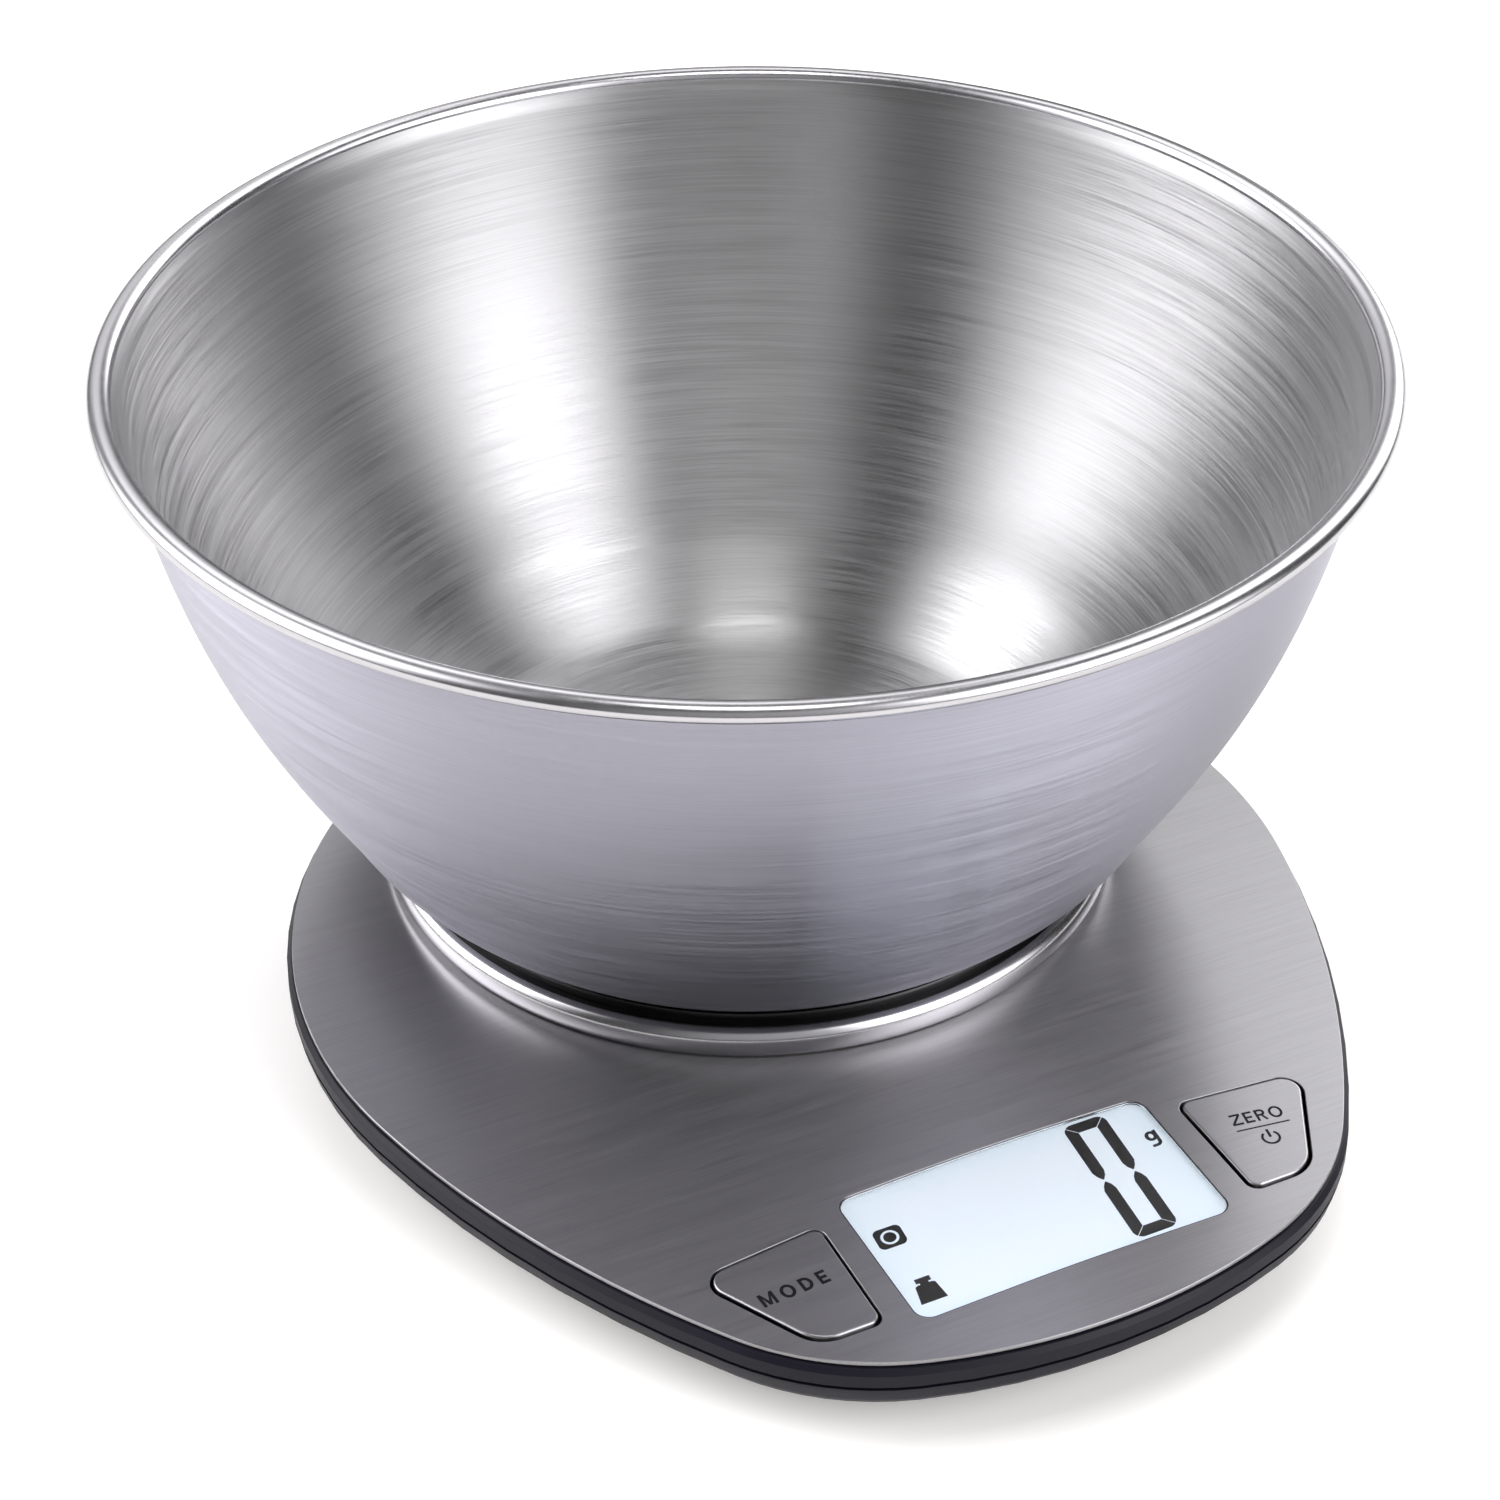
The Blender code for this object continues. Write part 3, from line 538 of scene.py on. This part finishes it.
def backlit_display():
    """Pale blue display: brightest in the middle, bluer towards its edges."""
    nodes = new_nodes("backlit_display")
    x, y, z = nodes.split(nodes.coordinates())
    middle = (GLASS_LOW + GLASS_HIGH) / 2
    across = nodes.math("DIVIDE", nodes.math("SUBTRACT", x, middle.x), GLASS_HIGH.x - middle.x)
    along = nodes.math("DIVIDE", nodes.math("SUBTRACT", y, middle.y), GLASS_HIGH.y - middle.y)
    edge = nodes.math("MAXIMUM", nodes.math("ABSOLUTE", across), nodes.math("ABSOLUTE", along))
    soft = nodes.math("ADD", edge, nodes.math("MULTIPLY", nodes.noise(nodes.coordinates(), 70.0), 0.12))
    glow = nodes.blend(nodes.spread(soft, 0, 1, (0.7, 1.05)), DISPLAY_MIDDLE, DISPLAY_EDGE)
    nodes.colour(nodes.blend(0.5, glow, DISPLAY_GLASS))
    nodes.link(glow, nodes.shader.inputs["Emission Color"])
    nodes.set(Emission_Strength=DISPLAY_GLOW, Roughness=0.3)
    return nodes.owner


def clear_window():
    """Clear acrylic with a slight cool tint and hairline haze."""
    nodes = new_nodes("clear_window")
    haze = nodes.noise(nodes.coordinates(), 300.0, 3.0, 0.6)
    nodes.roughness(nodes.spread(haze, 0.0, 0.02))
    nodes.set(Base_Color=(0.97, 0.985, 1.0, 1.0), Transmission_Weight=1.0, IOR=1.2)
    return nodes.owner


def battery_skin():
    """A foil sleeve: blue with a pale band, and bare metal at both ends."""
    nodes = new_nodes("battery_skin")
    x, y, z = nodes.split(nodes.coordinates())
    low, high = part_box("battery_1")
    along = nodes.math("DIVIDE", nodes.math("SUBTRACT", x, low.x), high.x - low.x)
    ramp = nodes.node_with("ShaderNodeValToRGB", along)
    ramp.color_ramp.interpolation = "CONSTANT"
    stops = ramp.color_ramp.elements
    for i, (position, colour) in enumerate(SLEEVE):
        stop = stops[i] if i < 2 else stops.new(position)
        stop.position = position
        stop.color = (*colour, 1)
    nodes.colour(ramp.outputs["Color"])
    nodes.roughness(nodes.spread(nodes.noise(nodes.coordinates(), 400.0), 0.22, 0.34))
    nodes.set(Metallic=0.35)
    return nodes.owner


BOWL_STEEL = round_brushed("bowl_steel", (0.55, 0.545, 0.55), 0.37, 0.93, 0.22)
# the outside is a darker, bluer copy of the bowl steel: painted shade and a painted cool reflection, with
# more painted shade towards the foot
OUTER_STEEL_PAINTED_SHADE = round_brushed("bowl_steel_outside_painted_shade", (0.485, 0.48, 0.55), 0.37, 0.93, 0.18, foot=0.45)
# painted shade: near-black steel for the shade in the recess between the bowl and its foot ring
NECK_PAINTED_SHADE = round_brushed("neck_painted_shade", (0.06, 0.058, 0.06), 0.34, 0.8, 0.2)
RIM_STEEL = polished("rim_steel", (0.60, 0.59, 0.61), 0.24)
RING_STEEL = polished("ring_steel", (0.62, 0.61, 0.63), 0.2)
PLATE_STEEL = straight_brushed("plate_steel", (0.42, 0.412, 0.425), 0.32, 0.9, 0.14)
KEY_STEEL = straight_brushed("key_steel", (0.42, 0.412, 0.425), 0.32, 0.88, 0.12)
BLACK_PLASTIC = moulded("black_plastic", (0.0085, 0.008, 0.0145), 0.38, specular=0.18)
INNER_PLASTIC = moulded("inner_plastic", (0.018, 0.018, 0.02), 0.5, specular=0.3)
WHITE_PLASTIC = moulded("white_plastic", (0.78, 0.78, 0.75), 0.45)
RUBBER = moulded("rubber", (0.035, 0.035, 0.037), 0.75, grain_size=0.25, depth=0.03)
ALUMINIUM = moulded("aluminium", (0.74, 0.75, 0.76), 0.34, grain_size=0.2, depth=0.006, metallic=1.0,
                    mottle=0.06)
BOARD_GREEN = moulded("board_green", (0.02, 0.14, 0.05), 0.35, grain_size=0.5, depth=0.01)
NICKEL = moulded("nickel", (0.68, 0.66, 0.61), 0.24, grain_size=0.15, depth=0.004, metallic=1.0, mottle=0.06)
LEAD_WHITE = moulded("lead_white", (0.75, 0.75, 0.72), 0.5)
LEAD_BLACK = moulded("lead_black", (0.025, 0.025, 0.025), 0.5)
KEY_INK = moulded("key_ink", (0.012, 0.012, 0.014), 0.5, grain_size=0.1, depth=0.004, specular=0.12)
DISPLAY_INK = moulded("display_ink", (0.02, 0.017, 0.014), 0.5, grain_size=0.1, depth=0.002)
DISPLAY = backlit_display()
CLEAR = clear_window()
BATTERY = battery_skin()


# ---------------------------------------------------------------- bowl

def offset_line(line, distance):
    """The line moved to its left by distance."""
    moved = []
    for i, point in enumerate(line):
        along = (line[min(i + 1, len(line) - 1)] - line[max(i - 1, 0)]).normalized()
        moved.append(point + Vector((-along.y, along.x)) * distance)
    return moved


def make_bowl():
    """The drawn sheet: flat floor, rounded bend and flaring wall, both skins, ending inside the rim."""
    line = [Vector((FLOOR_RADIUS, FLOOR_HEIGHT))]
    line += [Vector((radius, height)) * MM for height, radius in WALL_STATIONS]
    outer = smooth_line(line)
    inner = offset_line(outer, SHEET)
    inner[0] = Vector((FLOOR_RADIUS, FLOOR_HEIGHT + SHEET))
    floor = [Vector((FLOOR_RADIUS * i / FLOOR_STEPS, FLOOR_HEIGHT)) for i in range(FLOOR_STEPS)]
    inside = [Vector((point.x, point.y + SHEET)) for point in floor]
    rim_inside = RIM_RADIUS - 2 * RIM_HALF_WIDTH
    lip = [Vector((rim_inside + across * MM, RIM_HEIGHT + up * MM)) for across, up in LIP]
    mesh = turned("bowl_shell", floor + outer + lip + inner[::-1] + inside[::-1])
    add("bowl_shell", mesh, BOWL_STEEL, "bowl", ["mixing_bowl"], BOWL_PLACE)
    # the downward-facing outside skin takes the darker, bluer copy of the steel: painted shade and a painted
    # cool reflection
    mesh.materials.append(OUTER_STEEL_PAINTED_SHADE)
    for face in mesh.polygons:
        face.material_index = face.normal.z < 0


def make_rim():
    """The rolled rim: a closed bead round the top of the wall."""
    centre = (RIM_RADIUS - RIM_HALF_WIDTH, RIM_HEIGHT)
    profile = oval(centre, RIM_HALF_WIDTH, RIM_HALF_HEIGHT, steps=RIM_STEPS)
    add("bowl_rim", turned("bowl_rim", profile, closed=True), RIM_STEEL, "bowl",
        ["mixing_bowl"], BOWL_PLACE)


def make_foot_ring():
    """The ring welded under the bowl: a polished bead below a concave neck, near-black with painted shade."""
    profile = smooth_line([Vector(point) * MM for point in RING_OUTSIDE])
    profile += [Vector(point) * MM for point in RING_INSIDE]
    mesh = turned("foot_ring", profile, closed=True)
    add("foot_ring", mesh, RING_STEEL, "bowl", ["bowl_foot_ring"], BOWL_PLACE)
    # the neck, above NECK_HEIGHT, takes the near-black painted shade
    mesh.materials.append(NECK_PAINTED_SHADE)
    for face in mesh.polygons:
        face.material_index = face.center.z > NECK_HEIGHT


# ---------------------------------------------------------------- platform

def make_top_plate():
    """The steel plate, with its openings for the window and the two keys."""
    holes = [rounded(WINDOW), rounded(KEY, GAP), rounded(KEY, GAP, mirror=True)]
    mesh = flat("plate_skin", [platform_outline()] + holes, PLATE_LOW.z, PLATE_TOP, PLATE_EDGE, edge_steps=2)
    add("plate_skin", mesh, PLATE_STEEL, "platform", ["top_plate"], PLATFORM_PLACE, level=True)


def make_key(name, mirror):
    """A key's steel face. The left key is the right one's mirror image."""
    mesh = flat(f"{name}_face", [rounded(KEY, -GAP, mirror)], KEY_LOW.z, KEY_HIGH.z, KEY_EDGE, edge_steps=5)
    add(f"{name}_face", mesh, KEY_STEEL, f"{name}_button", [f"{name}_key"], PLATFORM_PLACE,
        level=True)


def printed(name, outlines, material, body, height):
    """A thin printed figure on a flat face at the given height."""
    mesh = flat(name, outlines, height - INK, height + INK)
    add(name, mesh, material, body, [], PLATFORM_PLACE)


def print_on_key(name, outlines, button):
    printed(name, outlines, KEY_INK, button, KEY_HIGH.z)


def print_on_display(name, shapes, centre):
    """Display ink from outlines in millimetres about a centre, leaning to the right with height."""
    outlines = [[Vector((centre[0] + x + DISPLAY_LEAN * y, centre[1] + y)) * MM for x, y in shape]
                for shape in shapes]
    printed(name, outlines, DISPLAY_INK, "platform", GLASS_HIGH.z + INK)


def letter(name, s):
    """The outlines and the width of one of the capitals MODEZR, for a cap height of 1 and a stroke of s."""
    up, down = math.pi / 2, -math.pi / 2
    if name == "M":
        return [[(0, 0), (s, 0), (s, 0.66), (0.46 - s / 2, 0.05), (0.46 + s / 2, 0.05), (0.92 - s, 0.66),
                 (0.92 - s, 0), (0.92, 0), (0.92, 1), (0.92 - s, 1), (0.46, 0.36), (s, 1), (0, 1)]], 0.92
    if name == "O":
        centre = (0.44, 0.5)
        return [oval(centre, 0.44, 0.52), oval(centre, 0.44 - s, 0.52 - s)], 0.88
    if name == "D":
        centre = (0.3, 0.5)
        return [[(0, 0)] + oval(centre, 0.44, 0.5, down, up) + [(0, 1)],
                [(s, s)] + oval(centre, 0.44 - s, 0.5 - s, down, up) + [(s, 1 - s)]], 0.74
    if name == "E":
        return [[(0, 0), (0.6, 0), (0.6, s), (s, s), (s, 0.5 - s / 2), (0.54, 0.5 - s / 2),
                 (0.54, 0.5 + s / 2), (s, 0.5 + s / 2), (s, 1 - s), (0.6, 1 - s), (0.6, 1), (0, 1)]], 0.6
    if name == "R":
        centre = (0.36, 0.71)
        return [[(0, 0), (s, 0), (s, 0.42), (0.33, 0.42), (0.53, 0), (0.7, 0), (0.48, 0.44)]
                + oval(centre, 0.29, 0.29, math.radians(-60), up, 20) + [(0, 1)],
                [(s, 0.42 + s)] + oval(centre, 0.29 - s, 0.29 - s, down, up) + [(s, 1 - s)]], 0.7
    return [[(0, 0), (0.72, 0), (0.72, s), (1.2 * s, s), (0.72, 1 - s), (0.72, 1), (0.02, 1), (0.02, 1 - s),
             (0.72 - 1.2 * s, 1 - s), (0, s)]], 0.72


def lettering(name, text, place, turn, size, button):
    """Capitals on a key, centred on a place in plan, with a cap height, a width and a stroke."""
    cap_height, width, weight = size
    shapes = [letter(capital, weight / cap_height) for capital in text]
    natural = sum(wide for outlines, wide in shapes)
    gap = (width / cap_height - natural) / (len(text) - 1)
    outlines = []
    start = -width / cap_height / 2
    along, up = direction(turn), direction(turn + math.pi / 2)
    for shape, wide in shapes:
        for outline in shape:
            outlines.append([(Vector(place) + ((start + x) * along + (y - 0.5) * up) * cap_height) * MM
                             for x, y in outline])
        start += wide + gap
    print_on_key(name, outlines, button)


def stroke(start, end, width):
    """The outline of a straight line of the given width, in millimetres."""
    start = Vector(start) * MM
    end = Vector(end) * MM
    along = (end - start).normalized() * width * MM / 2
    side = Vector((-along.y, along.x))
    return [start - side, end - side, end + side, start + side]


def ring_arc(centre, radius, width, start, end):
    """The outline of an open ring in millimetres, from one angle to another."""
    centre = Vector(centre) * MM
    outside = arc(centre, (radius + width / 2) * MM, start, end, RING_STEPS)
    inside = arc(centre, (radius - width / 2) * MM, end, start, RING_STEPS)
    return outside + inside


def make_key_printing():
    """The words on the two keys, and the power sign below a rule."""
    lettering("mode_label", "MODE", MODE_PLACE, MODE_TURN, MODE_SIZE, "mode_button")
    lettering("zero_label", "ZERO", ZERO_PLACE, ZERO_TURN, ZERO_SIZE, "zero_button")
    print_on_key("zero_rule", [stroke(*RULE, RULE_STROKE)], "zero_button")
    up = math.pi / 2 + ZERO_TURN
    ring = ring_arc(POWER_PLACE, POWER_RADIUS, POWER_STROKE, up + POWER_GAP, up + math.tau - POWER_GAP)
    print_on_key("power_ring", [ring], "zero_button")
    foot, tip = [Vector(POWER_PLACE) + reach * direction(up) for reach in STEM_REACH]
    print_on_key("power_stem", [stroke(foot, tip, STEM_STROKE)], "zero_button")


# ---------------------------------------------------------------- display

def make_digit():
    """A seven-segment nought: six mitred segments with rounded outer corners."""
    half_w, half_h = DIGIT_SIZE[0] / 2, DIGIT_SIZE[1] / 2
    t, r, slit = DIGIT_STROKE, DIGIT_CORNER, DIGIT_SLIT
    bend = [Vector((r * (1 - math.cos(angle)), r * (1 - math.sin(angle))))
            for angle in [math.radians(90 * i / 12) for i in range(13)]]
    corner = [(-half_w + p.x, half_h - p.y) for p in bend]  # from the left side round to the top
    top = [(x + slit, y + slit) for x, y in corner[6:]]
    top += [(-x, y) for x, y in reversed(top)]
    top += [(half_w - t - slit, half_h - t + slit), (-half_w + t + slit, half_h - t + slit)]
    side = [(-half_w + t - slit, half_h - t - slit)] + [(x - slit, y - slit) for x, y in reversed(corner[:7])]
    shoulder, cheek, point = DIGIT_NOTCH
    side += [(-half_w - slit, shoulder), (-half_w + 0.4, cheek), (-half_w + t / 2 - 0.1, point),
             (-half_w + t / 2 + 0.1, point), (-half_w + t - 0.4, cheek), (-half_w + t - slit, shoulder)]
    segments = {"a": top, "d": [(x, -y) for x, y in top], "f": side, "e": [(x, -y) for x, y in side],
                "b": [(-x, y) for x, y in side], "c": [(-x, -y) for x, y in side]}
    for segment, outline in segments.items():
        print_on_display(f"digit_segment_{segment}", [outline], DIGIT_CENTRE)


def make_icons():
    """The unit letter, a dot in a square with a round hole, and a weight."""
    up = math.pi / 2
    unit = [(1.2, 1.95), (1.2, -0.9)] + oval((0.1, -0.9), 1.1, 1.05, 0, -up, 10)
    unit += [(-0.85, -1.95), (-0.85, -1.35)] + oval((0.1, -0.85), 0.42, 0.5, -up, 0, 8)
    unit += oval((-0.1, 0.75), 1.1, 1.2, -math.radians(52), -math.radians(308), 30) + [(0.58, 1.95)]
    eye = oval((-0.08, 0.75), 0.42, 0.6)
    print_on_display("unit_g", [unit, eye], UNIT_PLACE)
    square = [(x / MM, y / MM) for x, y in rounded(RING_ICON_SQUARE)]
    hole, dot = [oval((0, 0), radius, radius, steps=48) for radius in RING_ICON_RADII]
    print_on_display("icon_ring", [square, hole], RING_ICON_PLACE)
    print_on_display("icon_dot", [dot], RING_ICON_PLACE)
    weight = list(WEIGHT_HALF) + [(-x, y) for x, y in reversed(WEIGHT_HALF)]
    print_on_display("icon_weight", [weight], WEIGHT_PLACE)


def make_window():
    """The clear window, in a thin black ring that is painted shadow of the gap round it."""
    outline = rounded(WINDOW, -WINDOW_INSET)
    mesh = flat("window", [outline], LENS_LOW.z, LENS_HIGH.z, WINDOW_EDGE, edge_steps=2)
    add("window", mesh, CLEAR, "platform", ["lcd_lens"], PLATFORM_PLACE, level=True)
    # painted shadow: a thin black ring for the gap between the window and the plate
    edge_shadow = flat("window_painted_shadow", [rounded(WINDOW, -inset) for inset in SHADOW_RING_INSETS], LENS_LOW.z,
                LENS_HIGH.z - SHADOW_RING_DROP)
    add("window_painted_shadow", edge_shadow, BLACK_PLASTIC, "platform", [], PLATFORM_PLACE)


# ---------------------------------------------------------------- carried-over CAD nodes

def shading_group():
    """Geometry nodes that weld an imported node and shade it smooth between its sharp edges."""
    group = bpy.data.node_groups.new("fine_shading", "GeometryNodeTree")
    group.interface.new_socket("Geometry", in_out="INPUT", socket_type="NodeSocketGeometry")
    group.interface.new_socket("Geometry", in_out="OUTPUT", socket_type="NodeSocketGeometry")
    start = group.nodes.new("NodeGroupInput")
    plain = group.nodes.new("GeometryNodeRemoveAttribute")
    plain.inputs["Name"].default_value = "custom_normal"
    weld = group.nodes.new("GeometryNodeMergeByDistance")
    weld.inputs["Distance"].default_value = WELD
    faces = group.nodes.new("GeometryNodeSetShadeSmooth")
    edges = group.nodes.new("GeometryNodeSetShadeSmooth")
    edges.domain = "EDGE"
    edges.inputs["Shade Smooth"].default_value = False
    angle = group.nodes.new("GeometryNodeInputMeshEdgeAngle")
    compare = group.nodes.new("FunctionNodeCompare")
    compare.operation = "GREATER_THAN"
    compare.inputs["B"].default_value = CAD_EDGE_ANGLE
    end = group.nodes.new("NodeGroupOutput")
    group.links.new(start.outputs[0], plain.inputs["Geometry"])
    group.links.new(plain.outputs[0], weld.inputs["Geometry"])
    group.links.new(weld.outputs[0], faces.inputs["Geometry"])
    group.links.new(faces.outputs[0], edges.inputs["Geometry"])
    group.links.new(angle.outputs["Unsigned Angle"], compare.inputs["A"])
    group.links.new(compare.outputs[0], edges.inputs["Selection"])
    group.links.new(edges.outputs[0], end.inputs[0])
    return group


FINISHES = {
    "upper_housing": BLACK_PLASTIC, "lower_housing": BLACK_PLASTIC, "battery_cover": BLACK_PLASTIC,
    "lcd_glass": DISPLAY, "lcd_backlight": WHITE_PLASTIC, "lcd_frame": INNER_PLASTIC, "zebra_strip": RUBBER,
    "pcb": BOARD_GREEN, "pcb_chip": INNER_PLASTIC, "sensor_connector": WHITE_PLASTIC,
    "battery_connector": WHITE_PLASTIC, "mode_switch": INNER_PLASTIC, "zero_switch": INNER_PLASTIC,
    "mode_plunger": WHITE_PLASTIC, "zero_plunger": WHITE_PLASTIC, "load_cell": ALUMINIUM,
    "load_cell_spacer": INNER_PLASTIC, "gauge_potting": WHITE_PLASTIC, "load_cell_lead": LEAD_WHITE,
    "battery_lead_plus": LEAD_BLACK, "battery_lead_minus": LEAD_BLACK, "battery_1": BATTERY,
    "battery_2": BATTERY,
}
FINISH_BY_START = {"foot_": RUBBER, "pcb_screw_": NICKEL, "load_cell_screw_": NICKEL, "contact_": NICKEL}
REPLACED = ("mixing_bowl", "bowl_foot_ring", "top_plate", "mode_key", "zero_key", "lcd_lens")
SOFTENED = ("upper_housing", "lower_housing", "battery_cover")


def finish_nodes():
    """Materials and fine shading for the CAD nodes that stay."""
    group = shading_group()
    for name, node in NODES.items():
        if name in REPLACED:
            continue
        material = FINISHES.get(name)
        for start, shared in FINISH_BY_START.items():
            if material is None and name.startswith(start):
                material = shared
        for slot in node.material_slots:
            slot.material = material
        node.modifiers.new("fine_shading", "NODES").node_group = group


def soften(name):
    """Rounds a CAD node's sharp edges a little, so that they catch the light."""
    bevel = NODES[name].modifiers.new("soft_edges", "BEVEL")
    bevel.width = SOFT_EDGE
    bevel.segments = 2
    bevel.limit_method = "ANGLE"
    bevel.angle_limit = CAD_EDGE_ANGLE


# ---------------------------------------------------------------- stage, light and camera

def make_floor():
    """A pale matt floor, lifted a little for the camera only."""
    shape = bmesh.new()
    bmesh.ops.create_grid(shape, x_segments=1, y_segments=1, size=FLOOR_HALF_SIZE)
    floor = bpy.data.objects.new("floor", mesh_of("floor", shape))
    bpy.context.scene.collection.objects.link(floor)
    nodes = new_nodes("floor")
    nodes.colour(nodes.blend(nodes.noise(nodes.coordinates(), 8.0), *FLOOR_TONES))
    nodes.set(Roughness=0.9, Specular_IOR_Level=0.1, Emission_Color=FLOOR_GLOW)
    seen = nodes.node("ShaderNodeLightPath").outputs["Is Camera Ray"]
    nodes.link(nodes.math("MULTIPLY", seen, FLOOR_LIFT), nodes.shader.inputs["Emission Strength"])
    floor.data.materials.append(nodes.owner)


def make_world():
    """A soft studio round the object: bright panels and darker stretches by azimuth, white to the camera."""
    nodes = Nodes(bpy.data.worlds.new("studio"), "Background")
    bpy.context.scene.world = nodes.owner
    x, y, z = nodes.split(nodes.node("ShaderNodeTexCoord").outputs["Generated"])
    azimuth = nodes.math("FRACT", nodes.math("DIVIDE", nodes.math("ARCTAN2", y, x), math.tau))
    ramp = nodes.node_with("ShaderNodeValToRGB", azimuth)
    peak = max(level for degrees, level in STUDIO)
    stops = ramp.color_ramp.elements
    for degrees, level in STUDIO:
        stop = stops.new(degrees / 360) if degrees else stops[0]
        stop.color = (level / peak, level / peak, level / peak * STUDIO_BLUE, 1)
    stops[-1].color = stops[0].color
    low = nodes.spread(z, 0, 1, LOW_FADE, "SMOOTHSTEP")
    high = nodes.spread(z, 0, 1, OVERHEAD_FADE, "SMOOTHSTEP")
    lower = nodes.blend(low, (LOW_LIGHT / peak,) * 3, ramp.outputs["Color"])
    whole = nodes.blend(high, lower, (OVERHEAD_LIGHT / peak,) * 3)
    camera_ray = nodes.node("ShaderNodeLightPath").outputs["Is Camera Ray"]
    nodes.link(nodes.blend(camera_ray, whole, (1 / peak,) * 3), nodes.shader.inputs["Color"])
    nodes.set(Strength=peak)


def add_panel(name, place, size, power, reflected):
    """A soft rectangular lamp aimed at the bowl."""
    lamp = bpy.data.lights.new(name, "AREA")
    lamp.shape = "RECTANGLE"
    lamp.size, lamp.size_y = size
    lamp.energy = power
    panel = bpy.data.objects.new(name, lamp)
    bpy.context.scene.collection.objects.link(panel)
    panel.location = place
    panel.rotation_mode = "QUATERNION"
    panel.rotation_quaternion = (Vector(place) - BOWL_PLACE).to_track_quat("Z", "Y")
    panel.visible_camera = False
    panel.visible_glossy = reflected


def make_camera():
    """The photograph's viewpoint, from the camera's place and its three turns."""
    turn = Vector((math.sin(CAMERA_TURN), math.cos(CAMERA_TURN), 0))
    forward = math.cos(CAMERA_DOWN) * turn - math.sin(CAMERA_DOWN) * Vector((0, 0, 1))
    across = Vector((turn.y, -turn.x, 0))
    down = forward.cross(across)
    across, down = (math.cos(CAMERA_ROLL) * across + math.sin(CAMERA_ROLL) * down,
                    math.cos(CAMERA_ROLL) * down - math.sin(CAMERA_ROLL) * across)
    lens = bpy.data.cameras.new("camera")
    lens.lens = LENS
    lens.sensor_width = SENSOR
    lens.clip_start = 0.01
    lens.clip_end = 50
    camera = bpy.data.objects.new("camera", lens)
    bpy.context.scene.collection.objects.link(camera)
    axes = Matrix((across, -down, -forward)).transposed()
    camera.matrix_world = Matrix.Translation(CAMERA_PLACE) @ axes.to_4x4()
    bpy.context.scene.camera = camera


make_bowl()
make_rim()
make_foot_ring()
make_top_plate()
make_key("mode", True)
make_key("zero", False)
make_key_printing()
make_digit()
make_icons()
make_window()
finish_nodes()
for housing in SOFTENED:
    soften(housing)
make_floor()
make_world()
for panel_facts in PANELS:
    add_panel(*panel_facts)
make_camera()
bpy.context.scene.view_settings.view_transform = "Standard"
